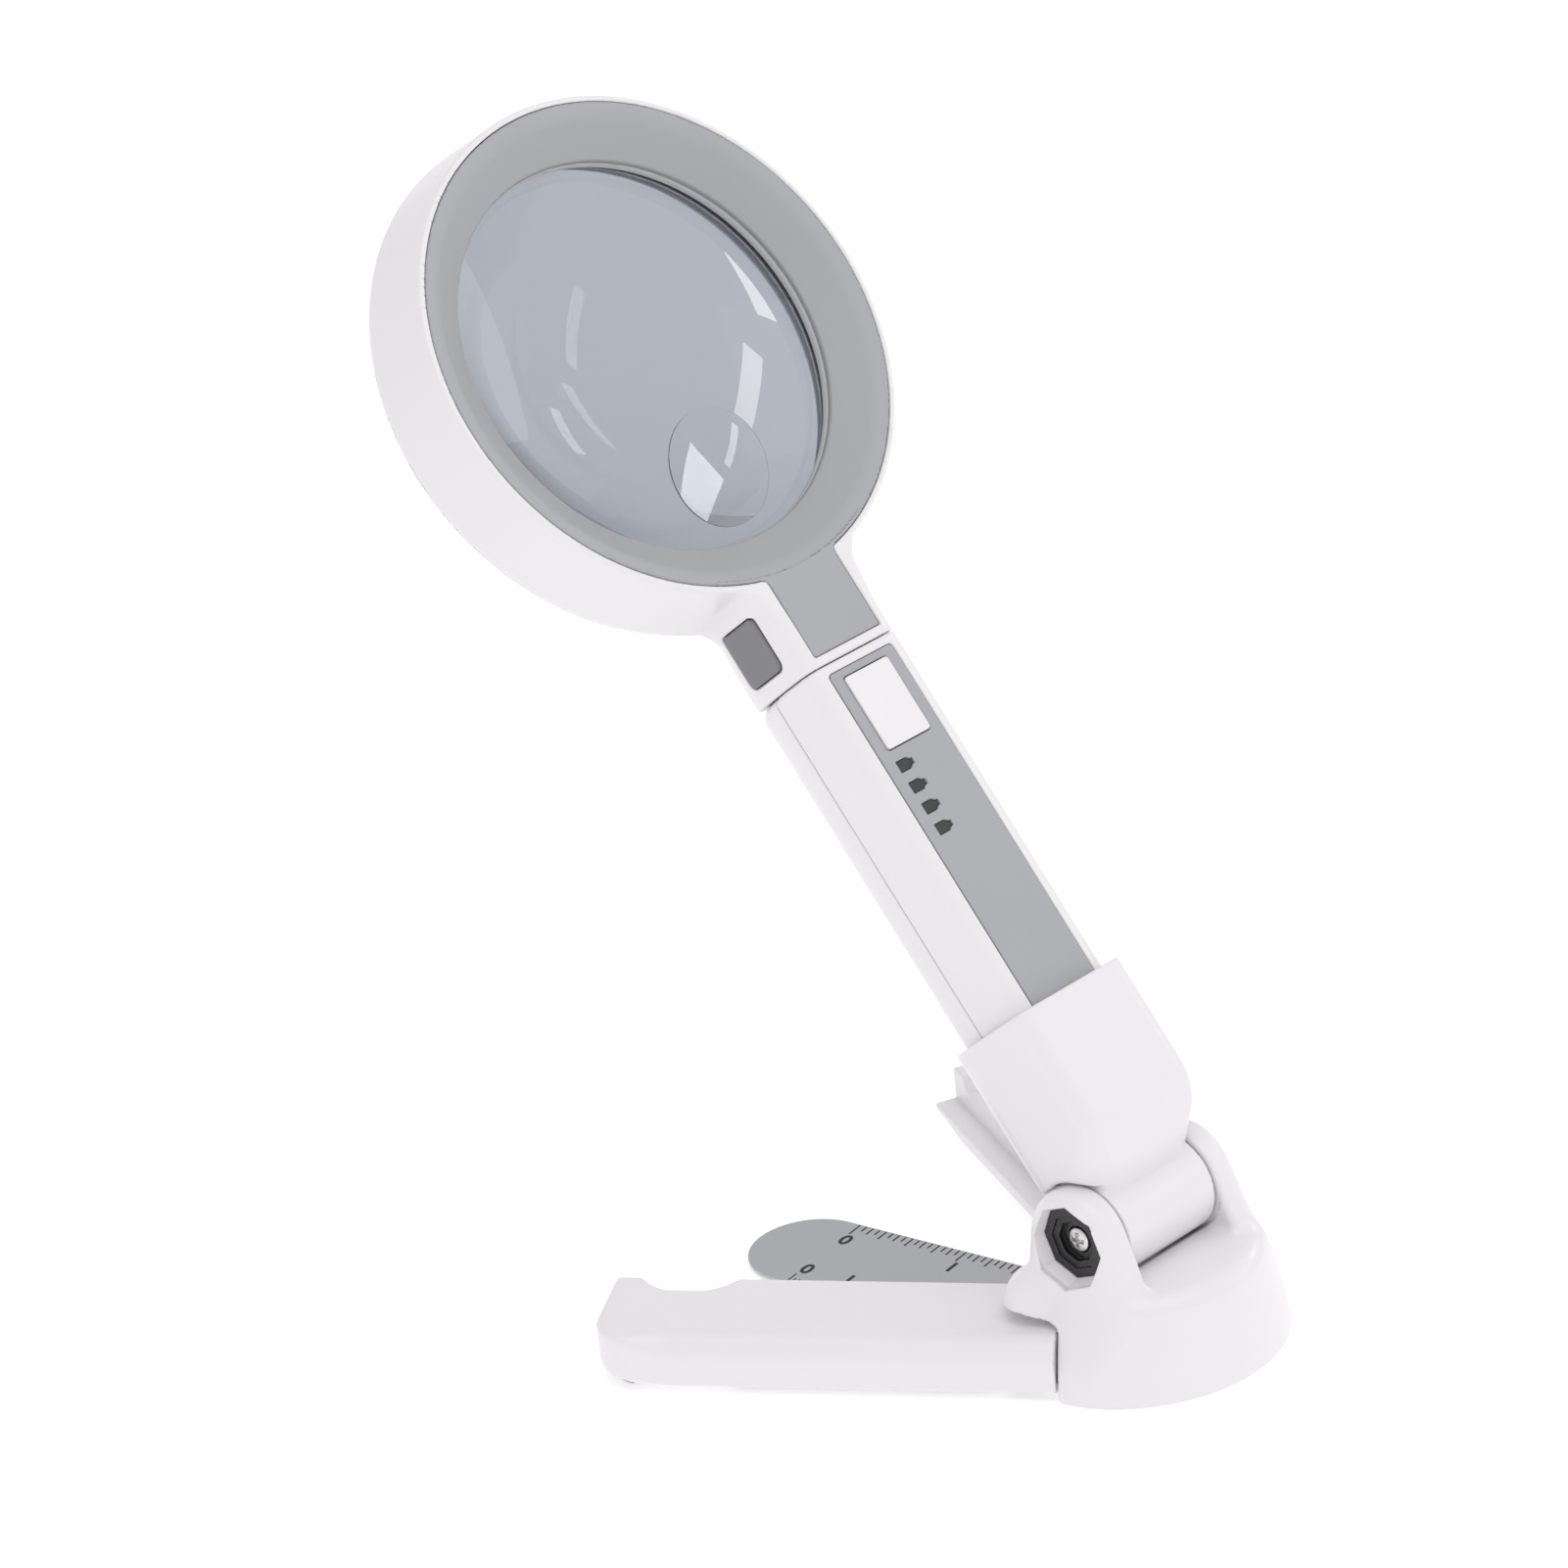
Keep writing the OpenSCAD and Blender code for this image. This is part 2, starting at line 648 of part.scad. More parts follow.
module inset_lens() {
    dome = 42;
    r = inset_r - 0.05;
    sag = dome - sqrt(dome * dome - r * r);
    color("lightsteelblue", 0.4) on_lens() on_inset() intersection() {
        translate([0, 0, -1.15]) cylinder(r = r, h = 1.25 + sag);
        translate([0, 0, 0.1 + sag - dome]) sphere(dome);
    }
}

module lens_ring() {
    color("whitesmoke") on_lens() translate([0, 0, lens_t + lens_edge + 0.55]) difference() {
        cylinder(r = lens_edge_r + 0.1, h = 1.5, $fn = 128);
        translate([0, 0, -1]) cylinder(r = 41, h = 4, $fn = 128);
    }
}

module led_board() {
    color("white") on_lens() translate([0, 0, 0.8]) difference() {
        cylinder(r = 50, h = 1.2, $fn = 128);
        translate([0, 0, -1]) cylinder(r = 44.4, h = 4, $fn = 128);
    }
}

module leds() {
    color("khaki") on_lens() for (k = [0 : led_count - 1]) rotate(360 * (k + 0.5) / led_count)
        translate([led_ring - 1.3, -1.5, -0.6]) cube([2.6, 3, 1.4]);
}

module neck_plug() {
    color("dimgray") on_handle() {
        grip_box(14, -3.9, 7.9, 106, seam_s + 4);
        grip_box(10, -2, 6, seam_s + 4, seam_s + 12);
    }
}

module neck_pins() {
    color("gold") on_handle() for (x = [-3, 3]) grip_box(1.8, 1.2, 2.8, 102, 106, x);
}

module release_button(x) {
    color("gray") on_handle() intersection() {
        grip_solid(rel_s0, rel_s1, -0.25);
        grip_box(3.6, rel_t0, rel_t1, 0, far, x * (grip_r - 0.3));
    }
}
module release_button_left() { release_button(-1); }
module release_button_right() { release_button(1); }

stand_body();
base_cover();
ballast_plate();
base_pads();
base_screws();
leg_pins();
leg_left();
leg_right();
leg_foot_left();
leg_foot_right();
ruler();
ruler_screw();
tilt_screw();
tilt_nut();
octagon_cup();
tilt_washers();
socket();
handle_front_shell();
handle_back_shell();
control_panel();
power_button();
charge_indicators();
control_board();
power_switch();
battery();
battery_contacts();
charge_port();
case_screws();
handle_terminals();
head_shell();
head_back_cover();
bezel();
main_lens();
inset_lens();
lens_ring();
led_board();
leds();
light_diffuser();
neck_plug();
neck_pins();
release_button_left();
release_button_right();
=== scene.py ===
"""Looks of a low vision magnifier on its folding stand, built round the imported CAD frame.

The moulded shells are smooth solids, each given by a distance function in millimetres that is meshed
by surface nets, so that their edges are rounded and their joins are filleted as moulded plastic is.
"""

import json
import math

import bpy
import numpy as np
from mathutils import Matrix, Quaternion, Vector


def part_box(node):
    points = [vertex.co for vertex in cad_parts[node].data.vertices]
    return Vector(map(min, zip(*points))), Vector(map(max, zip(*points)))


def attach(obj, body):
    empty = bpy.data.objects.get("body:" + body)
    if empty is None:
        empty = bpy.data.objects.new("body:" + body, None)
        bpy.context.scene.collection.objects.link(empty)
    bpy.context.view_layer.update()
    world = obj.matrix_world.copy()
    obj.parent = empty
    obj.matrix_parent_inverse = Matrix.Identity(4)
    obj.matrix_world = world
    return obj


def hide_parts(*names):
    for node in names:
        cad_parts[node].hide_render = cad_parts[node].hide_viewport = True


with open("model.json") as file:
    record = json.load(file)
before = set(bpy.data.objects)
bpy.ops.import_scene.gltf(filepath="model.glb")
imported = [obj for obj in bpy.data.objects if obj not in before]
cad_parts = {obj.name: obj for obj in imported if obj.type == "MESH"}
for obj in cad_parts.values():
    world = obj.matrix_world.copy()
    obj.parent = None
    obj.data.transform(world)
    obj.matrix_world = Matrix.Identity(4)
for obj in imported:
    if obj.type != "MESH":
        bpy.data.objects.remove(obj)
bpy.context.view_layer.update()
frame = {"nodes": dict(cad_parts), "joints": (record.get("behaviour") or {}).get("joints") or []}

MM = 0.001
JOINTS = {joint["name"]: joint for joint in frame["joints"]}


def corner(node, which, axis):
    """One coordinate of a CAD node's box in millimetres, at its low corner (which = 0) or high one (1)."""
    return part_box(node)[which][axis] / MM


# ---- places -------------------------------------------------------------------------------------


class Place:
    """A local frame in millimetres: its origin and its three axes, given in the row frame."""

    def __init__(self, origin, *axes):
        self.origin = np.array(origin, float)
        self.axes = np.array(axes, float)
        self.mirrored = np.linalg.det(self.axes) < 0

    def to_row(self, points):
        return (self.origin + np.asarray(points) @ self.axes) * MM

    def turn(self, vectors):
        return np.asarray(vectors) @ self.axes


ALONG = np.array(JOINTS["lift_out"]["axis"])  # up the handle
OUT = -np.array(JOINTS["power_press"]["axis"])  # out of the handle's front
PIVOT = np.array(JOINTS["tilt"]["pos_m"]) / MM
PIVOT_Z = PIVOT[2]
ROW = Place((0, 0, 0), (1, 0, 0), (0, 1, 0), (0, 0, 1))
# Magnifier: x across, t forward of the tilt axis, s along the handle.
GRIP = Place(PIVOT, (1, 0, 0), OUT, ALONG)


def leg_place(joint, side, degrees):
    """A leg's frame: lateral distance outwards from its hinge, distance along it, height."""
    angle = math.radians(degrees)
    lateral = (side * math.cos(angle), -math.sin(angle), 0)
    along = (side * math.sin(angle), math.cos(angle), 0)
    hinge = np.array(JOINTS[joint]["pos_m"]) / MM
    return Place(hinge, lateral, along, (0, 0, 1))


LEFT_LEG = leg_place("left_leg_swing", -1, JOINTS["left_leg_swing"]["range_deg"][1])
RIGHT_LEG = leg_place("right_leg_swing", 1, JOINTS["right_leg_swing"]["range_deg"][1])
RULER_OPEN = math.radians(7.5)
RULER = Place(
    (*np.array(JOINTS["ruler_swing"]["pos_m"])[:2] / MM, corner("ruler", 1, 2)),
    (math.cos(RULER_OPEN), math.sin(RULER_OPEN), 0),
    (-math.sin(RULER_OPEN), math.cos(RULER_OPEN), 0),
    (0, 0, 1),
)

# ---- sizes, in millimetres ----------------------------------------------------------------------

GRIP_HALF = 12.5
GRIP_FRONT = 16.2
GRIP_BACK_MID = 2
GRIP_CORNER = 3.5
GRIP_LOW = 13.4
GRIP_TOP = 115.8
SEAM = 116
PARTING = 3
WALL = 1.8
SLEEVE_WALL = 2.35
SLEEVE_LOW = 10.8
SLEEVE_TOP = 41.3
BARREL_R = 9.7
BARREL_X = 12.1
GAP_X = 12.5
EAR_X = 19.6
EAR_R = 10.3
DRUM_Y = 3
LEDGE_Z = 20
LEG_LEN = 93.8
LEG_OUT = 17
LEG_IN = 11.6
LEG_SWING = 31  # degrees, from folded to open
FOOT_START = 86
LEG_TOP = corner("leg_left", 1, 2)
LEG_LOW = corner("leg_left", 0, 2)
LENS_S = 184.6
LENS_T = 5
LENS_R = 42.3
LENS_CURVE = 130
LENS_BACK = 200
LENS_EDGE = 1.6
INSET_DROP = 25.6
INSET_R = 11.65
BEZEL_OUT = 50.1
BEZEL_IN = 40.3
RIM_IN = 50.25
RING_OUT = 51.45
RING_LEAN = 0.0905  # growth of the ring's radius for each millimetre towards the back
LIP_IN = 40.8
TRIM_FACE = GRIP_FRONT - 0.2
HEAD_BACK = -3.8
COVER_T = -1.9
TAB_HALF = 8.9
TAB_S = 118
TAB_TOP = 139
PANEL_X = (-8.6, 8.6)
PANEL_S = (36, 113.8)
BUTTON_X = (-5.85, 5.85)
BUTTON_S = (96.15, 112.05)
WINDOW_X = -4.5
WINDOW_S = (92.4, 87.83, 83.26, 78.69)
RELEASE_S = (119.6, 131)
RELEASE_T = (-0.5, 10.6)
RECESS_X = 8.9
CUP_X = (-17.2, -14.2)
CUP_R = 7.5
RULER_HALF = 12.5
MARKS_START = 66
MARKS_END = 17.5
FIRST_NUMERAL = 65.2
NUMERAL_SIZE = 4.8
INCH = 25.4

# ---- distance functions -------------------------------------------------------------------------


def cut(a, b, r=0.0):
    """The solid inside both a and b, with the edge between them rounded to radius r."""
    return np.minimum(np.maximum(a, b), -r) + np.hypot(np.maximum(a + r, 0), np.maximum(b + r, 0))


def join(a, b, r=0.0):
    """The solid inside a or b, with a fillet of radius r between them."""
    return -cut(-a, -b, r)


def less(a, b, r=0.0):
    """The solid a without b, with the edge between them rounded to radius r."""
    return cut(a, -b, r)


def span(value, low, high):
    return np.maximum(low - value, value - high)


def ease(value, start, end):
    """Goes smoothly from 0 at start to 1 at end."""
    share = np.clip((value - start) / (end - start), 0, 1)
    return share * share * (3 - 2 * share)


def box(x, y, z, xs, ys, zs, r=0.0):
    return cut(cut(span(x, *xs), span(y, *ys), r), span(z, *zs), r)


def patch(a, a_sides, b, b_sides, r, grow=0.0):
    """A rectangle with round corners in the coordinates a and b, grown outwards on all sides."""
    (a_low, a_high), (b_low, b_high) = a_sides, b_sides
    return cut(span(a, a_low - grow, a_high + grow), span(b, b_low - grow, b_high + grow), r)


def octagon(y, z, radius):
    """A regular octagon with corners on its axes, radius being to the corners."""
    c, s = math.cos(math.pi / 8), math.sin(math.pi / 8)
    y, z = np.abs(y), np.abs(z)
    return np.maximum(y * c + z * s, y * s + z * c) - radius * c


def grip_section(x, t, grow=0.0, round_corner=None):
    """The handle's section: flat front with two round corners, round back."""
    corner_r = GRIP_CORNER + grow if round_corner is None else round_corner
    front = cut(np.abs(x) - GRIP_HALF - grow, t - GRIP_FRONT - grow, corner_r)
    back = np.hypot(x, t - GRIP_BACK_MID) - GRIP_HALF - grow
    return np.where(t > GRIP_BACK_MID, front, back)


# ---- meshing ------------------------------------------------------------------------------------


def nets(field, low, high, cell):
    """Points and quads of the surface where field is zero, one point in each grid cell it crosses."""
    low = np.array(low, float)
    cell = np.ones(3) * cell
    counts = np.ceil((np.array(high) - low) / cell).astype(int) + 1
    x, y, z = (low[i] + cell[i] * np.arange(counts[i]) for i in range(3))
    value = np.broadcast_to(field(x[:, None, None], y[None, :, None], z[None, None, :]), counts)
    cells = counts - 1
    total, hits, crossings = np.zeros((*cells, 3)), np.zeros(cells), []
    for axis in range(3):
        first = [slice(None)] * 3
        second = [slice(None)] * 3
        first[axis], second[axis] = slice(0, -1), slice(1, None)
        a, b = value[tuple(first)], value[tuple(second)]
        crossed = (a < 0) != (b < 0)
        share = np.where(crossed, a / np.where(crossed, a - b, 1), 0)
        crossings.append((crossed, a < 0))
        u, v = (axis + 1) % 3, (axis + 2) % 3
        for du in (0, 1):
            for dv in (0, 1):
                pick = [slice(None)] * 3
                pick[u], pick[v] = slice(du, cells[u] + du), slice(dv, cells[v] + dv)
                here = crossed[tuple(pick)]
                hits += here
                total[..., axis] += share[tuple(pick)]
                total[..., u] += du * here
                total[..., v] += dv * here
    used = np.argwhere(hits > 0)
    number = -np.ones(cells, int)
    number[tuple(used.T)] = np.arange(len(used))
    mean = total[tuple(used.T)] / hits[tuple(used.T)][:, None]
    points = low + (used + mean) * cell
    quads = []
    for axis, (crossed, inside) in enumerate(crossings):
        u, v = (axis + 1) % 3, (axis + 2) % 3
        at = np.argwhere(crossed)
        at = at[(at[:, u] > 0) & (at[:, u] < cells[u]) & (at[:, v] > 0) & (at[:, v] < cells[v])]
        ring = []
        for du, dv in ((1, 1), (0, 1), (0, 0), (1, 0)):
            cell_at = at.copy()
            cell_at[:, u] -= du
            cell_at[:, v] -= dv
            ring.append(number[tuple(cell_at.T)])
        ring = np.stack(ring, 1)
        outward = inside[tuple(at.T)]
        quads.append(np.where(outward[:, None], ring, ring[:, ::-1]))
    return points, np.concatenate(quads)


def slope(field, points, step=0.02):
    """The field's gradient at each point."""
    columns = []
    for axis in range(3):
        shift = np.zeros(3)
        shift[axis] = step
        columns.append((field(*(points + shift).T) - field(*(points - shift).T)) / (2 * step))
    return np.stack(columns, 1)


def mesh_object(name, points, faces, normals=None):
    mesh = bpy.data.meshes.new(name)
    mesh.from_pydata(points.tolist(), [], faces.tolist() if hasattr(faces, "tolist") else faces)
    mesh.update()
    mesh.shade_smooth()
    if normals is not None:
        mesh.normals_split_custom_set_from_vertices(normals.tolist())
    piece = bpy.data.objects.new(name, mesh)
    bpy.context.scene.collection.objects.link(piece)
    return piece


def solid(name, field, low, high, cell, place):
    """A mesh of the solid where field is negative, smooth-shaded with the field's own normals."""
    points, quads = nets(field, low, high, cell)
    reach = 0.7 * np.min(np.ones(3) * cell)
    for _ in range(4):
        normal = slope(field, points)
        size = np.maximum((normal**2).sum(1), 0.05)
        step = field(*points.T)[:, None] * normal / size[:, None]
        length = np.maximum(np.linalg.norm(step, axis=1, keepdims=True), 1e-9)
        points = points - step * np.minimum(1, reach / length)
    normal = slope(field, points)
    normal /= np.maximum(np.linalg.norm(normal, axis=1, keepdims=True), 1e-9)
    if place.mirrored:
        quads = quads[:, ::-1]
    return mesh_object(name, place.to_row(points), quads, place.turn(normal))


def lathe(name, profile, place, centre, segments=160, loop=False):
    """A solid of revolution about the lens axis: profile is (radius, t) from axis to axis, or a loop."""
    angles = np.arange(segments) * math.tau / segments
    rows, faces = [], []
    for radius, t in profile:
        rows.append(
            np.stack([radius * np.cos(angles), np.full(segments, t), centre + radius * np.sin(angles)], 1)
        )
    points = np.concatenate(rows)
    last = len(profile) - 1
    for k in range(last + loop):
        near, far = k * segments, (k + 1) % len(profile) * segments
        for i in range(segments):
            j = (i + 1) % segments
            faces.append([near + i, near + j, far + j, far + i])
    if not loop:
        faces.append(list(range(segments))[::-1])
        faces.append(list(range(last * segments, (last + 1) * segments)))
    if place.mirrored:
        faces = [face[::-1] for face in faces]
    return mesh_object(name, place.to_row(points), faces)


def settle(piece, body, slot, material, *nodes):
    """Gives a new piece its material and its CAD body, and hides the CAD nodes that it stands for; slot is
    not used.
    """
    piece.data.materials.append(material)
    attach(piece, body)
    if nodes:
        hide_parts(*nodes)
    return piece


# ---- materials ----------------------------------------------------------------------------------


def plastic(name, colour, rough, grain=0.4, bump=0.02, mottle=0.03, metal=0.0, coat=0.0):
    """A moulded or metal surface: grain is the size of its texture in millimetres, bump its depth."""
    material = bpy.data.materials.new(name)
    material.use_nodes = True
    nodes, links = material.node_tree.nodes, material.node_tree.links
    shader = nodes["Principled BSDF"]
    shader.inputs["Metallic"].default_value = metal
    shader.inputs["Coat Weight"].default_value = coat
    place = nodes.new("ShaderNodeTexCoord")
    fine = nodes.new("ShaderNodeTexNoise")
    fine.inputs["Scale"].default_value = 1 / (grain * MM)
    fine.inputs["Detail"].default_value = 3
    broad = nodes.new("ShaderNodeTexNoise")
    broad.inputs["Scale"].default_value = 70
    broad.inputs["Detail"].default_value = 2
    links.new(place.outputs["Object"], fine.inputs["Vector"])
    links.new(place.outputs["Object"], broad.inputs["Vector"])
    tone = nodes.new("ShaderNodeMix")
    tone.data_type = "RGBA"
    tone.inputs["A"].default_value = (*[c * (1 - mottle) for c in colour], 1)
    tone.inputs["B"].default_value = (*[min(1, c * (1 + mottle)) for c in colour], 1)
    blend = nodes.new("ShaderNodeMath")
    blend.operation = "MULTIPLY_ADD"
    blend.inputs[1].default_value = 0.5
    links.new(fine.outputs["Fac"], blend.inputs[0])
    half = nodes.new("ShaderNodeMath")
    half.operation = "MULTIPLY"
    half.inputs[1].default_value = 0.5
    links.new(broad.outputs["Fac"], half.inputs[0])
    links.new(half.outputs[0], blend.inputs[2])
    links.new(blend.outputs[0], tone.inputs["Factor"])
    links.new(tone.outputs["Result"], shader.inputs["Base Color"])
    gloss = nodes.new("ShaderNodeMapRange")
    gloss.inputs["From Min"].default_value = 0.3
    gloss.inputs["From Max"].default_value = 0.7
    gloss.inputs["To Min"].default_value = rough * 0.88
    gloss.inputs["To Max"].default_value = min(1, rough * 1.12)
    links.new(broad.outputs["Fac"], gloss.inputs["Value"])
    links.new(gloss.outputs["Result"], shader.inputs["Roughness"])
    relief = nodes.new("ShaderNodeBump")
    relief.inputs["Strength"].default_value = 0.5
    relief.inputs["Distance"].default_value = bump * MM
    links.new(fine.outputs["Fac"], relief.inputs["Height"])
    links.new(relief.outputs["Normal"], shader.inputs["Normal"])
    return material


def brushed(name, colour, rough):
    """Metal with fine lines along the ruler."""
    material = plastic(name, colour, rough, grain=0.5, bump=0.01, mottle=0.05, metal=0.85)
    nodes, links = material.node_tree.nodes, material.node_tree.links
    place = nodes.new("ShaderNodeTexCoord")
    turn = nodes.new("ShaderNodeMapping")
    turn.inputs["Rotation"].default_value = (0, 0, -RULER_OPEN)
    turn.inputs["Scale"].default_value = (4000, 60, 1)
    lines = nodes.new("ShaderNodeTexNoise")
    lines.inputs["Scale"].default_value = 1
    links.new(place.outputs["Object"], turn.inputs["Vector"])
    links.new(turn.outputs["Vector"], lines.inputs["Vector"])
    relief = nodes["Bump"]
    for link in list(relief.inputs["Height"].links):
        links.remove(link)
    links.new(lines.outputs["Fac"], relief.inputs["Height"])
    return material


def glass(name, tint):
    """Clear optical plastic with a trace of haze, whose tint darkens what is seen through it; the main
    lens's grey tint is painted shade, standing in for the shade seen through the lens.
    """
    material = bpy.data.materials.new(name)
    material.use_nodes = True
    nodes, links = material.node_tree.nodes, material.node_tree.links
    shader = nodes["Principled BSDF"]
    shader.inputs["Transmission Weight"].default_value = 1
    shader.inputs["IOR"].default_value = 1.49
    place = nodes.new("ShaderNodeTexCoord")
    haze = nodes.new("ShaderNodeTexNoise")
    haze.inputs["Scale"].default_value = 45
    links.new(place.outputs["Object"], haze.inputs["Vector"])
    tone = nodes.new("ShaderNodeMix")
    tone.data_type = "RGBA"
    tone.inputs["A"].default_value = (*[c * 0.97 for c in tint], 1)
    tone.inputs["B"].default_value = (*tint, 1)
    links.new(haze.outputs["Fac"], tone.inputs["Factor"])
    links.new(tone.outputs["Result"], shader.inputs["Base Color"])
    rough = nodes.new("ShaderNodeMapRange")
    rough.inputs["To Min"].default_value = 0.0
    rough.inputs["To Max"].default_value = 0.004
    links.new(haze.outputs["Fac"], rough.inputs["Value"])
    links.new(rough.outputs["Result"], shader.inputs["Roughness"])
    return material


WHITE = plastic("white_abs", (0.81, 0.798, 0.812), 0.33, grain=0.5, bump=0.006, mottle=0.008, coat=0.12)
GRAY = plastic("gray_abs", (0.385, 0.395, 0.415), 0.5, grain=0.28, bump=0.03, mottle=0.06)
DARK = plastic("dark_gray_abs", (0.2, 0.2, 0.215), 0.5, grain=0.28, bump=0.03, mottle=0.06)
BLACK = plastic("black_nylon", (0.012, 0.012, 0.013), 0.28, grain=0.4, bump=0.01)
SMOKE = plastic("smoked_window", (0.045, 0.045, 0.05), 0.2, grain=0.6, bump=0.004)
MILK = plastic("milky_diffuser", (0.82, 0.84, 0.86), 0.55, grain=0.3, bump=0.02)
ZINC = plastic("zinc_steel", (0.66, 0.66, 0.64), 0.3, grain=0.25, bump=0.012, mottle=0.08, metal=1)
RUBBER = plastic("black_rubber", (0.03, 0.03, 0.03), 0.75, grain=0.5, bump=0.04)
PALE = plastic("pale_rubber", (0.55, 0.55, 0.56), 0.75, grain=0.5, bump=0.04)
GREEN = plastic("green_board", (0.04, 0.2, 0.08), 0.35, grain=0.8, bump=0.02, mottle=0.12)
BOARD = plastic("white_board", (0.8, 0.8, 0.77), 0.35, grain=0.8, bump=0.02)
PHOSPHOR = plastic("phosphor", (0.85, 0.72, 0.25), 0.4, grain=0.3, bump=0.01)
CELL = plastic("cell_sleeve", (0.08, 0.2, 0.46), 0.3, grain=0.9, bump=0.01)
BRASS = plastic("plated_brass", (0.75, 0.58, 0.22), 0.28, grain=0.3, bump=0.01, mottle=0.08, metal=1)
IRON = plastic("cast_ballast", (0.25, 0.25, 0.26), 0.6, grain=0.7, bump=0.08, mottle=0.15, metal=0.7)
STEEL = brushed("ruler_steel", (0.5, 0.51, 0.53), 0.42)
INK = plastic("printed_ink", (0.02, 0.02, 0.024), 0.6, grain=0.2, bump=0.004)
# the bead's pale colour is a painted highlight, standing in for the bright line of light round the lens's
# edge
BEAD_PAINTED_HIGHLIGHT = plastic("pale_bead_painted_highlight", (0.72, 0.72, 0.73), 0.3, grain=0.4, bump=0.004)
BUTTON = plastic("button_abs", (0.83, 0.82, 0.83), 0.38, grain=1.1, bump=0.05, mottle=0.02, coat=0.1)
# the main lens's grey tint is painted shade, standing in for the shade seen through the lens
LENS = glass("lens_acrylic_painted_shade", (0.37, 0.395, 0.435))
INSET = glass("inset_acrylic", (0.93, 0.94, 0.96))

NODE_MATERIALS = {
    "base_cover": WHITE,
    "ballast_plate": IRON,
    "base_pads": RUBBER,
    "base_screws": ZINC,
    "leg_pins": ZINC,
    "ruler": STEEL,
    "ruler_screw": ZINC,
    "tilt_nut": ZINC,
    "tilt_washers": RUBBER,
    "control_board": GREEN,
    "power_switch": BLACK,
    "battery": CELL,
    "battery_contacts": BRASS,
    "charge_port": ZINC,
    "case_screws": ZINC,
    "handle_terminals": BRASS,
    "lens_ring": WHITE,
    "led_board": BOARD,
    "leds": PHOSPHOR,
    "light_diffuser": MILK,
    "neck_plug": BLACK,
    "neck_pins": BRASS,
}
for node_name, node_material in NODE_MATERIALS.items():
    for slot_place in frame["nodes"][node_name].material_slots:
        slot_place.material = node_material

# ---- stand --------------------------------------------------------------------------------------


def ear(y, z):
    """Side view of an ear: a round top between two straight flanks, the front one leaning more."""
    front, rear = math.radians(160), math.radians(3)
    up = z - PIVOT_Z
    angle = np.arctan2(up, y)
    flanks = np.maximum(
        y * math.cos(front) + up * math.sin(front), y * math.cos(rear) + up * math.sin(rear)
    )
    return np.where((angle > rear) & (angle < front), np.hypot(y, up), flanks) - EAR_R


def leg_bay(x, y):
    """Plan of the space that the two legs sweep, one side mirroring the other."""
    hinge = abs(LEFT_LEG.origin[0])
    dx, dy = np.abs(x) - hinge, y - LEFT_LEG.origin[1]
    plan = np.hypot(dx, dy) - 12.35
    for degrees in np.linspace(0, LEG_SWING, 6):
        a = math.radians(degrees)
        lateral = dx * math.cos(a) - dy * math.sin(a)
        along = dx * math.sin(a) + dy * math.cos(a)
        arm = np.maximum(span(lateral, -LEG_IN - 0.4, LEG_OUT + 0.35), 3.4 - along)
        plan = np.minimum(plan, arm)
    a = math.radians(LEG_SWING)
    along = dx * math.sin(a) + dy * math.cos(a)
    wedge = np.maximum(3.4 - along, -dx)
    return np.minimum(plan, wedge)


def stand_field(x, y, z):
    wide = np.abs(x)
    drum = np.hypot(x, y - DRUM_Y) - (29.9 - 0.14 * z - 0.0028 * z * z)
    shoulder = 7.5 * ease(y, 2, 10) * ease(z, 23, 16)
    side = wide - (EAR_X + 10.3 * np.exp(-((z / 13.9) ** 2)) + shoulder)
    ledge = cut(z - LEDGE_Z, y - 15.6, 5)
    ears = cut(ear(y, z), GAP_X - wide, 1.2)
    body = join(ledge, ears, 2)
    body = cut(body, side, 3)
    body = cut(body, drum, 3 + 2.5 * ease(y, 0, 8))
    # trough of the barrel, and the low floor behind it
    turn = np.hypot(y, z - PIVOT_Z)
    trough = np.maximum(turn - BARREL_R - 0.55, wide - GAP_X)
    body = less(body, trough, 0.5)
    back = np.maximum(wide - GAP_X - 3, np.maximum(EAR_R - 0.4 - y, 14.2 - z))
    behind = np.maximum(wide - GAP_X, np.maximum(2 - y, 17.2 - z))
    body = less(body, np.minimum(back, behind), 0.8)
    # leg bay: its roof rises towards the back where the drum's side ends
    rise = 2.4 * np.clip((y + 1.5) / 9, 0, 1) * np.clip((wide - 19) / 4, 0, 1)
    body = less(body, cut(leg_bay(x, y), z - 12.2 - rise, 0.8), 0.6)
    body = less(body, box(wide, y, z, (-1, 17), (-16.9, -8.9), (-5, 16.5)))
    body = less(body, np.maximum(np.hypot(x, y - DRUM_Y) - 27.9, z - 4.2))
    # pockets of the cup and the nut, and the screw's bore
    draft = np.clip((-x - 17.3) / 2.3, 0, 1)
    pocket = np.maximum(octagon(y, z - PIVOT_Z, 7.55 + draft), x + 14.2)
    body = less(body, pocket, 0.35)
    body = less(body, np.maximum(octagon(y, z - PIVOT_Z, 4.4), 15.4 - x), 0.35)
    body = np.maximum(body, 1.7 - turn)
    return cut(body, -z, 0.5)


def cup_field(x, y, z):
    up = z - PIVOT_Z
    cup = cut(octagon(y, up, CUP_R), span(x, *CUP_X), 0.25)
    cup = less(cup, np.maximum(octagon(y, up, 5.6), x + 16.7), 0.12)
    cup = less(cup, np.maximum(octagon(y, up, 4.2), x + 15.6), 0.12)
    return np.maximum(cup, 2.7 - np.hypot(y, up))


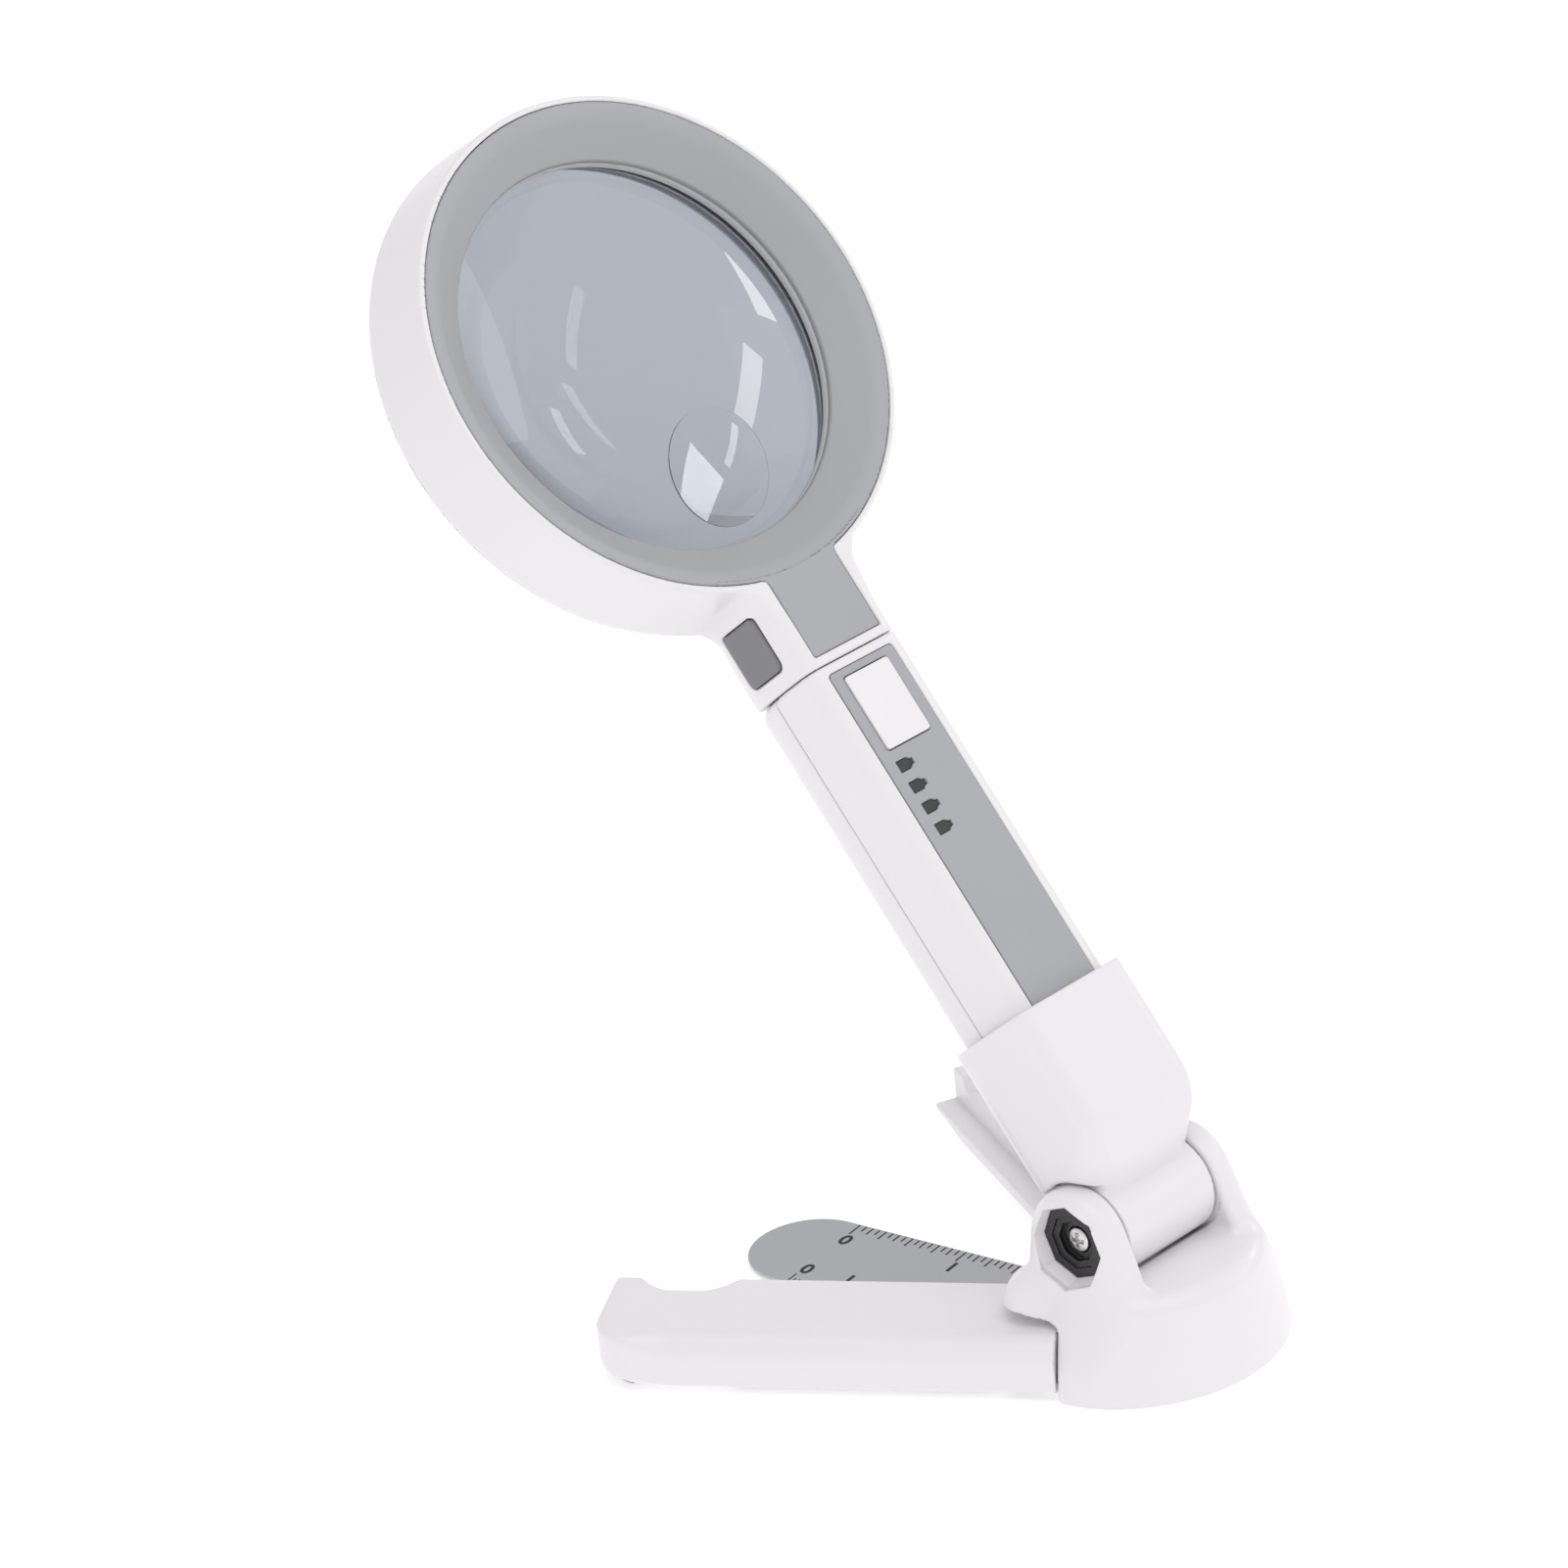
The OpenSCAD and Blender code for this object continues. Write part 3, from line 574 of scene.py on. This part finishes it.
def screw_field(x, y, z):
    up = z - PIVOT_Z
    radius = np.hypot(y, up)
    head = cut(radius - 2.5, np.hypot(x + 10.4, radius) - 6, 0.3)
    head = np.maximum(head, x + 14.25)
    cross = np.minimum(
        box(x, y, up, (-20, -15.5), (-1.5, 1.5), (-0.38, 0.38)),
        box(x, y, up, (-20, -15.5), (-0.38, 0.38), (-1.5, 1.5)),
    )
    shaft = np.maximum(radius - 1.6, span(x, -14.6, 18.6))
    return np.minimum(less(head, cross, 0.12), shaft)


def make_stand():
    body = solid("stand_shell", stand_field, (-31, -28, -1), (31, 17.5, 41), 0.42, ROW)
    settle(body, "stand", "white_shell", WHITE, "stand_body")
    cup = solid("pivot_cup", cup_field, (-18, -9, 19), (-13.5, 9, 37), 0.22, ROW)
    settle(cup, "stand", "black_plastic", BLACK, "octagon_cup")
    screw = solid("pivot_screw", screw_field, (-17, -3, 25), (19.2, 3, 31), (0.25, 0.16, 0.16), ROW)
    settle(screw, "stand", "zinc_steel", ZINC, "tilt_screw")


def leg_field(lateral, along, z):
    """One leg: a broad soft edge along its outer side, a step along its inner one, and a finger scoop."""
    plan = cut(lateral - LEG_OUT, along - LEG_LEN, 9.1)
    to_end = ease(along, LEG_LEN - 16, LEG_LEN - 3)
    leg = cut(plan, z - LEG_TOP, 5.2 - 3.9 * to_end)
    leg = cut(leg, -LEG_IN - lateral, 0.9)
    leg = cut(leg, LEG_LOW - z, 0.8 + 1.8 * to_end)
    step = np.maximum(lateral + 7.1, np.maximum(4.8 - z, 13.5 - along))
    leg = less(leg, step, 0.5)
    # knuckle, and the lip that closes the leg's side next to the stand
    round_end = np.hypot(lateral, along) - 11.5
    heel = np.minimum(3.8 - along, np.minimum(round_end, np.maximum(-along, lateral - 11.5)))
    leg = np.maximum(leg, heel)
    under = np.maximum(np.maximum(along - 13.5, z - 3.45), lateral - LEG_OUT + 1.1)
    leg = np.maximum(leg, -under)
    scoop_z = LEG_TOP - 2.7
    reach = 10 + (z - scoop_z) * 0.5
    scoop = np.maximum(np.hypot(lateral + 13, along - LEG_LEN + 14.9) - reach, scoop_z - z)
    leg = less(leg, scoop, 0.25)
    hollow = box(lateral, along, z, (-LEG_IN + 6.5, 14), (17, 66.8), (-5, 9.8), 0.8)
    leg = less(leg, hollow, 0.3)
    foot = np.maximum(cut(plan + 0.95, 4 - lateral, 0.4), np.maximum(FOOT_START - along, z - 2.7))
    leg = np.maximum(leg, -foot)
    return np.maximum(leg, 3.05 - np.hypot(lateral, along))


def foot_field(lateral, along, z):
    """The soft foot under a leg's end, set in from the leg's sides."""
    plan = cut(lateral - LEG_OUT + 3, along - LEG_LEN + 3, 6)
    plan = cut(cut(plan, 4.4 - lateral, 0.6), 86.4 - along, 0.6)
    return cut(plan, span(z, 0.02, 2.6), 0.4)


def make_legs():
    low, high = (-13, -13, LEG_LOW - 1), (18.2, 95, LEG_TOP + 1)
    for side, place in (("left", LEFT_LEG), ("right", RIGHT_LEG)):
        leg = solid(f"{side}_leg_shell", leg_field, low, high, (0.42, 0.5, 0.4), place)
        settle(leg, f"{side}_leg", "white_shell", WHITE, f"leg_{side}")
        foot = solid(f"{side}_foot_pad", foot_field, (3.5, 85.5, -0.5), (15, 92, 3.2), 0.3, place)
        settle(foot, f"{side}_leg", "pale_rubber", PALE, f"leg_foot_{side}")


# ---- ruler --------------------------------------------------------------------------------------


def ruler_marks():
    """Sixteenths of an inch along the far edge and millimetres along the near one."""
    film = 0.03
    points, faces = [], []

    def bar(x0, x1, y, width):
        low, base = y - width / 2, len(points)
        for x, yy in ((x0, low), (x1, low), (x1, low + width), (x0, low + width)):
            points.append((x, yy, film))
        faces.append((base, base + 1, base + 2, base + 3))

    for k in range(int((MARKS_START - MARKS_END) / INCH * 16) + 1):
        length = 3.8 if k % 16 == 0 else 3.1 if k % 4 == 0 else 2.5 if k % 2 == 0 else 1.9
        bar(RULER_HALF - 0.25 - length, RULER_HALF - 0.25, MARKS_START - k * INCH / 16, 0.34)
    for k in range(int(MARKS_START - MARKS_END) + 1):
        length = 3.2 if k % 10 == 0 else 2.4 if k % 5 == 0 else 1.6
        bar(-RULER_HALF + 0.25, -RULER_HALF + 0.25 + length, MARKS_START - k, 0.28)
    piece = mesh_object("ruler_marks", RULER.to_row(points), faces)
    return settle(piece, "ruler_blade", "ruler_metal", INK)


def numeral(text, x, y, quarter_turns, name):
    """A printed numeral lying on the ruler."""
    curve = bpy.data.curves.new(name, "FONT")
    curve.body = text
    curve.size = NUMERAL_SIZE * MM
    curve.offset = 0.12 * MM
    curve.align_x, curve.align_y = "CENTER", "CENTER"
    curve.extrude = 0.01 * MM
    letter = bpy.data.objects.new(name + "_curve", curve)
    bpy.context.scene.collection.objects.link(letter)
    bpy.context.view_layer.update()
    mesh = bpy.data.meshes.new_from_object(letter.evaluated_get(bpy.context.evaluated_depsgraph_get()))
    bpy.data.objects.remove(letter)
    turn = Matrix.Rotation(RULER_OPEN + quarter_turns * math.pi / 2, 4, "Z")
    mesh.transform(Matrix.Translation(Vector(RULER.to_row((x, y, 0.04)))) @ turn)
    mesh.name = name
    piece = bpy.data.objects.new(name, mesh)
    bpy.context.scene.collection.objects.link(piece)
    piece.data.materials.clear()
    return settle(piece, "ruler_blade", "ruler_metal", INK)


def make_ruler():
    ruler_marks()
    for k in range(2):
        numeral(str(k), 6.4, FIRST_NUMERAL - INCH * k, 1, f"inch_numeral_{k}")
    for k in range(5):
        numeral(str(k), -6.4, FIRST_NUMERAL - 10 * k, 1, f"centimetre_numeral_{k}")


# ---- socket and handle --------------------------------------------------------------------------


def socket_field(x, t, s):
    """The sleeve round the handle, sloping down in front to the barrel that turns between the ears."""
    wide = np.abs(x)
    sleeve = grip_section(x, t, SLEEVE_WALL, 3.2)
    chin = 0.583 * (t - 8.8) - 0.8125 * (s - 4.2)
    sleeve = cut(sleeve, chin, 6.5)
    sleeve = cut(sleeve, s - SLEEVE_TOP, 0.6)
    over_ears = np.where(t > 0, EAR_R + 0.65 - np.hypot(t, s), SLEEVE_LOW - s)
    low = np.minimum(over_ears, np.maximum(wide - BARREL_X, -BARREL_R - t))
    sleeve = cut(sleeve, low, 0.7)
    sleeve = np.maximum(sleeve, -s)
    barrel = cut(np.hypot(t, s) - BARREL_R, wide - BARREL_X, 0.35)
    body = join(sleeve, barrel, 0.5)
    bore = np.maximum(grip_section(x, t, 0.25), GRIP_LOW - 0.25 - s)
    body = less(body, bore, 0.35)
    return np.maximum(body, 1.65 - np.hypot(t, s))


def case_field(x, t, s):
    """Both handle shells together."""
    case = cut(grip_section(x, t), span(s, GRIP_LOW, GRIP_TOP), 0.7 + 2 * ease(t, 8, -2))
    hollow = np.maximum(grip_section(x, t, -WALL), span(s, GRIP_LOW + WALL, GRIP_TOP - WALL))
    case = less(case, hollow)
    case = less(case, box(x, t, s, (-7.3, 7.3), (-4.3, 8.3), (GRIP_TOP - 5, 200)), 0.2)
    case = less(case, box(x, t, s, (-4.7, 4.7), (8.1, 11.9), (0, GRIP_LOW + 5)), 0.2)
    panel = patch(x, PANEL_X, s, PANEL_S, 0.9, 0.12)
    case = less(case, np.maximum(panel, GRIP_FRONT - 1.1 - t), 0.15)
    button = patch(x, BUTTON_X, s, BUTTON_S, 0.6, 0.2)
    case = less(case, np.maximum(button, 10 - t))
    rows = (WINDOW_S[-1] - 1.5, WINDOW_S[0] + 1.5)
    windows = box(x, t, s, (WINDOW_X - 2, WINDOW_X + 3.2), (10, 30), rows)
    case = less(case, windows)
    for at in (18, 93.6):
        radius = np.hypot(x, s - at)
        case = less(case, np.minimum(radius - 1.5, np.maximum(radius - 2.6, t + 9.2)))
    return case


def front_field(x, t, s):
    return cut(case_field(x, t, s), PARTING + 0.03 - t, 0.2)


def back_field(x, t, s):
    return cut(case_field(x, t, s), t - PARTING + 0.03, 0.2)


def window_plan(x, s, at, grow):
    """A battery-shaped window: a cell that narrows to its cap on the right."""
    across, up = x - WINDOW_X, np.abs(s - at)
    taper = 0.64 * (across - 1.3 - grow) + 0.77 * (up - 1.1 - grow)
    cell = cut(cut(span(across, -1.35 - grow, 2.15 + grow), up - 1.1 - grow, 0.15), taper, 0.1)
    cap = np.maximum(span(across, 0, 2.6 + grow), up - 0.5 - grow)
    return np.minimum(cell, cap)


def panel_field(x, t, s):
    plan = patch(x, PANEL_X, s, PANEL_S, 1)
    panel = cut(plan, span(t, GRIP_FRONT - 1, GRIP_FRONT), 0.18)
    panel = less(panel, patch(x, BUTTON_X, s, BUTTON_S, 0.8, 0.2), 0.15)
    for at in WINDOW_S:
        panel = less(panel, window_plan(x, s, at, 0.1), 0.08)
    return panel


def window_field(x, t, s):
    windows = [np.maximum(window_plan(x, s, at, 0), span(t, 15.3, 15.85)) for at in WINDOW_S]
    rows = (WINDOW_S[-1] - 1.35, WINDOW_S[0] + 1.35)
    back = box(x, t, s, (WINDOW_X - 1.8, WINDOW_X + 3), (13.6, 15.1), rows)
    return np.minimum(np.minimum.reduce(windows), cut(back, t - 15.1, 0.1))


def button_field(x, t, s):
    plan = patch(x, BUTTON_X, s, BUTTON_S, 0.7)
    middle = (BUTTON_S[0] + BUTTON_S[1]) / 2
    dish = 0.18 * np.exp(-(x**2 + ((s - middle) * 0.75) ** 2) / 22)
    return cut(plan, span(t, 14.2, GRIP_FRONT + 0.4 - dish), 0.3)


def make_handle():
    sleeve = solid("sleeve", socket_field, (-16, -14, -10.5), (16, 19.6, 42.3), 0.5, GRIP)
    settle(sleeve, "tilt_socket", "white_shell", WHITE, "socket")
    low, high, cell = (-13.6, -11.6, 12.4), (13.6, 17.4, 116.9), (0.5, 0.35, 0.9)
    front = solid("grip_front", front_field, low, high, cell, GRIP)
    settle(front, "handle", "white_shell", WHITE, "handle_front_shell")
    back = solid("grip_back", back_field, low, high, cell, GRIP)
    settle(back, "handle", "white_shell", WHITE, "handle_back_shell")
    panel = solid("grip_panel", panel_field, (-9, 14.9, 35.5), (9, 16.6, 114.3), (0.2, 0.12, 0.25), GRIP)
    settle(panel, "handle", "gray_trim", GRAY, "control_panel")
    low, high = (-6.6, 13.2, 77), (-1.1, 16.2, 94.2)
    lights = solid("grip_windows", window_field, low, high, (0.15, 0.12, 0.15), GRIP)
    settle(lights, "handle", "window_smoke", SMOKE, "charge_indicators")
    button = solid("grip_button", button_field, (-6.4, 13.8, 95.6), (6.4, 17.1, 112.6), 0.25, GRIP)
    settle(button, "button", "white_shell", BUTTON, "power_button")


# ---- head ---------------------------------------------------------------------------------------


def ring_side(radius, t):
    """The ring's outer side, a little wider towards the back."""
    return radius - RING_OUT - (TRIM_FACE - t) * RING_LEAN


def head_outline(x, t, s):
    """The outside of the ring and neck as one moulding."""
    radius = np.hypot(x, s - LENS_S)
    ring = ring_side(radius, t)
    neck = np.where(t > GRIP_BACK_MID, np.abs(x), np.hypot(x, t - GRIP_BACK_MID)) - GRIP_HALF
    neck = np.maximum(neck, s - 145)
    plan = join(ring, neck, 4.2)
    ramp = -0.79 * (t - HEAD_BACK) + 0.613 * (s - 131.3)
    back = join(HEAD_BACK - t, ramp, 3)
    body = cut(plan, back, 3.6)
    on_ring = np.clip((s - 122) / 11, 0, 1)
    face = GRIP_FRONT - 0.15 * on_ring
    body = cut(body, t - face, GRIP_CORNER - 2.8 * on_ring)
    return cut(body, SEAM - s, 0.7)


def head_field(x, t, s):
    radius = np.hypot(x, s - LENS_S)
    wide = np.abs(x)
    body = head_outline(x, t, s)
    seat = np.maximum(radius - RIM_IN, 8.7 - t)
    cavity = np.maximum(span(radius, 44.1, RIM_IN), t - 7.2)
    shelf = np.maximum(span(radius, LIP_IN, 43), span(t, 1.2, 2.8))
    bore = np.maximum(radius - 42.5, -shelf)
    body = less(body, np.minimum(seat, np.minimum(cavity, bore)), 0.35)
    body = np.maximum(body, -np.maximum(radius - 53.15, t - COVER_T))
    plan = join(radius - BEZEL_OUT, wide - TAB_HALF - 0.12, 1.4)
    tab = np.maximum(np.maximum(plan, TAB_S - 0.12 - s), np.maximum(GRIP_FRONT - 1.1 - t, s - TAB_TOP))
    body = less(body, tab, 0.15)
    plug = box(x, t, s, (-7.2, 7.2), (-4.1, 8.1), (0, 129))
    button = patch(s, RELEASE_S, t, RELEASE_T, 1.6, 0.2)
    return less(body, np.minimum(plug, np.maximum(button, RECESS_X - wide)), 0.2)


def cover_field(x, t, s):
    """The ring's rear cover, with a groove for the light's window."""
    radius = np.hypot(x, s - LENS_S)
    body = cut(cut(ring_side(radius, t), HEAD_BACK - t, 3.6), t - COVER_T + 0.05, 0.1)
    body = cut(body, LIP_IN - radius, 0.5)
    body = np.maximum(body, radius - 53.1)
    groove = np.maximum(span(radius, 45, 49.8), t - HEAD_BACK - 1)
    return less(body, groove, 0.15)


def bezel_field(x, t, s):
    radius = np.hypot(x, s - LENS_S)
    wide = np.abs(x)
    dish = -0.564 * (radius - 48.5) + 0.826 * (t - TRIM_FACE)
    ring = cut(dish, t - TRIM_FACE, 1.4)
    under = np.maximum(8.9 - t, 0.573 * (radius - 44) - 0.819 * (t - 8.9))
    ring = np.maximum(ring, under)
    ring = cut(ring, span(radius, BEZEL_IN, BEZEL_OUT), 0.3)
    plan = join(radius - BEZEL_OUT, wide - TAB_HALF, 1.5)
    plan = cut(plan, TAB_S - s, 0.5)
    tab = cut(plan, span(t, TRIM_FACE - 0.8, TRIM_FACE), 0.15)
    tab = np.maximum(tab, np.maximum(BEZEL_OUT - 0.7 - radius, s - TAB_TOP))
    return np.minimum(ring, tab)


def release_field(side):
    def field(x, t, s):
        outer = grip_section(x, t, 0.35)
        button = cut(outer, patch(s, RELEASE_S, t, RELEASE_T, 1.7), 0.45)
        return np.maximum(button, 10.4 - side * x)

    return field


def make_lens():
    """The main lens, and the small stronger lens set on its front surface."""
    sag = math.sqrt(LENS_CURVE**2 - LENS_R**2)
    radii = LENS_R * np.sin(np.linspace(0.0005, math.pi / 2, 44))
    bulge = np.sqrt(LENS_CURVE**2 - radii**2) - sag
    front = [(r, LENS_T + LENS_EDGE + b) for r, b in zip(radii, bulge)]
    back_bulge = np.sqrt(LENS_BACK**2 - radii**2) - math.sqrt(LENS_BACK**2 - LENS_R**2)
    back = [(r, LENS_T - LENS_EDGE - b) for r, b in zip(radii, back_bulge)]
    main = lathe("lens_main", front + back[::-1], GRIP, LENS_S)
    settle(main, "head", "lens_clear", LENS, "main_lens")
    # the pale bead that closes the gap between the lens and the trim; its pale colour is a painted
    # highlight, standing in for the bright line of light round the lens's edge
    inner = [(40.32, 7.42), (40.26, 7.6), (40.26, 9.1), (40.34, 9.3)]
    outer = [(40.6, 9.3), (40.7, 9.1), (40.7, 7.5), (40.6, 7.4)]
    bead = lathe("lens_bead", inner + outer, GRIP, LENS_S, 200, loop=True)
    settle(bead, "head", "gray_trim", BEAD_PAINTED_HIGHLIGHT)
    lean = math.asin(INSET_DROP / LENS_CURVE)
    # a frame at the middle of the front sphere, leaning to the inset lens's place
    centre = PIVOT + LENS_S * ALONG + (LENS_T + LENS_EDGE - sag) * OUT
    axis = math.cos(lean) * OUT - math.sin(lean) * ALONG
    across = math.cos(lean) * ALONG + math.sin(lean) * OUT
    place = Place(centre, (1, 0, 0), axis, across)
    dome, gap, rim = 42, 0.03, 0.3
    radii = INSET_R * np.sin(np.linspace(0.0005, math.pi / 2, 24))
    seat = np.sqrt(LENS_CURVE**2 - radii**2) + gap
    edge = seat[-1] + rim
    top = edge + np.sqrt(dome**2 - radii**2) - math.sqrt(dome**2 - INSET_R**2)
    profile = [(r, h) for r, h in zip(radii, top)] + [(r, h) for r, h in zip(radii[::-1], seat[::-1])]
    inset = lathe("lens_inset", profile, place, 0, 120)
    settle(inset, "head", "lens_clear", INSET, "inset_lens")


def make_head():
    shell = solid("ring_shell", head_field, (-54.5, -11.6, 115), (54.5, 17.2, 239), 0.46, GRIP)
    settle(shell, "head", "white_shell", WHITE, "head_shell")
    cover = solid("ring_back", cover_field, (-54.5, -4.6, 130.5), (54.5, -1.2, 239), (0.7, 0.3, 0.7), GRIP)
    settle(cover, "head", "white_shell", WHITE, "head_back_cover")
    bezel = solid("ring_bezel", bezel_field, (-51, 8.2, 117.4), (51, 16.9, 236), (0.42, 0.32, 0.42), GRIP)
    settle(bezel, "head", "gray_trim", GRAY, "bezel")
    for name, side in (("left", -1), ("right", 1)):
        low = (-13.8, -1.5, 118.8) if side < 0 else (9.8, -1.5, 118.8)
        high = (-9.8, 11.5, 131.8) if side < 0 else (13.8, 11.5, 131.8)
        button = solid(f"release_{name}_cap", release_field(side), low, high, 0.25, GRIP)
        settle(button, f"release_{name}", "dark_trim", DARK, f"release_button_{name}")
    make_lens()


# ---- camera, light and floor --------------------------------------------------------------------


def make_camera(azimuth, elevation, roll, distance, lens, offset_x, offset_y):
    """A camera at a distance from the floor under the tilt axis, which shows that point off its middle."""
    az, el, rl = (math.radians(a) for a in (azimuth, elevation, roll))
    ahead = Vector((-math.sin(az) * math.cos(el), math.cos(az) * math.cos(el), -math.sin(el)))
    right = Vector((math.cos(az), math.sin(az), 0))
    up = right.cross(ahead)
    x_axis = math.cos(rl) * right + math.sin(rl) * up
    y_axis = -math.sin(rl) * right + math.cos(rl) * up
    data = bpy.data.cameras.new("view")
    data.lens = lens
    data.sensor_width = 36
    data.clip_start = 0.05
    data.clip_end = 20
    camera = bpy.data.objects.new("view", data)
    bpy.context.scene.collection.objects.link(camera)
    place = -(x_axis * offset_x - y_axis * offset_y + ahead) * distance
    turn = Matrix((x_axis, y_axis, -ahead)).transposed()
    camera.matrix_world = Matrix.Translation(place) @ turn.to_4x4()
    bpy.context.scene.camera = camera


def softbox(name, azimuth, elevation, roll, distance, size, brightness, target):
    """A rectangular lamp of that radiance, seen from the target at that azimuth and elevation."""
    az, el = math.radians(azimuth), math.radians(elevation)
    towards = Vector((math.sin(az) * math.cos(el), -math.cos(az) * math.cos(el), math.sin(el)))
    data = bpy.data.lights.new(name, "AREA")
    data.shape = "RECTANGLE"
    data.size, data.size_y = size
    data.energy = brightness * math.pi * size[0] * size[1]
    lamp = bpy.data.objects.new(name, data)
    bpy.context.scene.collection.objects.link(lamp)
    lamp.location = target + towards * distance
    lamp.rotation_mode = "QUATERNION"
    turn = Quaternion((0, 0, 1), math.radians(roll))
    lamp.rotation_quaternion = towards.to_track_quat("Z", "Y") @ turn


def make_floor():
    """A plain pale sheet, which glows a little as a lit product table does."""
    reach = 12
    points = np.array([(-reach, -reach, 0), (reach, -reach, 0), (reach, reach, 0), (-reach, reach, 0)])
    floor = mesh_object("floor", points - (0, 0, 0.0002), [(0, 1, 2, 3)])
    material = bpy.data.materials.new("pale_sheet")
    material.use_nodes = True
    shader = material.node_tree.nodes["Principled BSDF"]
    shader.inputs["Base Color"].default_value = (0.8, 0.8, 0.8, 1)
    shader.inputs["Roughness"].default_value = 1
    shader.inputs["Specular IOR Level"].default_value = 0
    shader.inputs["Emission Color"].default_value = (1, 1, 1, 1)
    shader.inputs["Emission Strength"].default_value = 0.42
    floor.data.materials.append(material)


def make_light():
    world = bpy.data.worlds.new("studio")
    world.use_nodes = True
    background = world.node_tree.nodes["Background"]
    background.inputs["Color"].default_value = (1, 0.985, 1, 1)
    background.inputs["Strength"].default_value = 0.77
    bpy.context.scene.world = world
    bpy.context.scene.view_settings.view_transform = "Standard"
    target = Vector(GRIP.to_row((0, 0, LENS_S)))
    softbox("strip_near", 53.9, 18.3, 9.3, 1.5, (0.603, 0.097), 4.5, target)
    softbox("strip_far", 84.3, 21.3, 25.9, 1.5, (0.517, 0.153), 4.5, target)
    softbox("top", -20, 68, 0, 1.4, (1.2, 1.2), 1.2, target)


make_camera(
    azimuth=-43.6348,
    elevation=24.9573,
    roll=-6.5644,
    distance=1.48446,
    lens=179.89,
    offset_x=0.0463136,
    offset_y=0.0703514,
)
make_floor()
make_light()
make_stand()
make_legs()
make_ruler()
make_handle()
make_head()
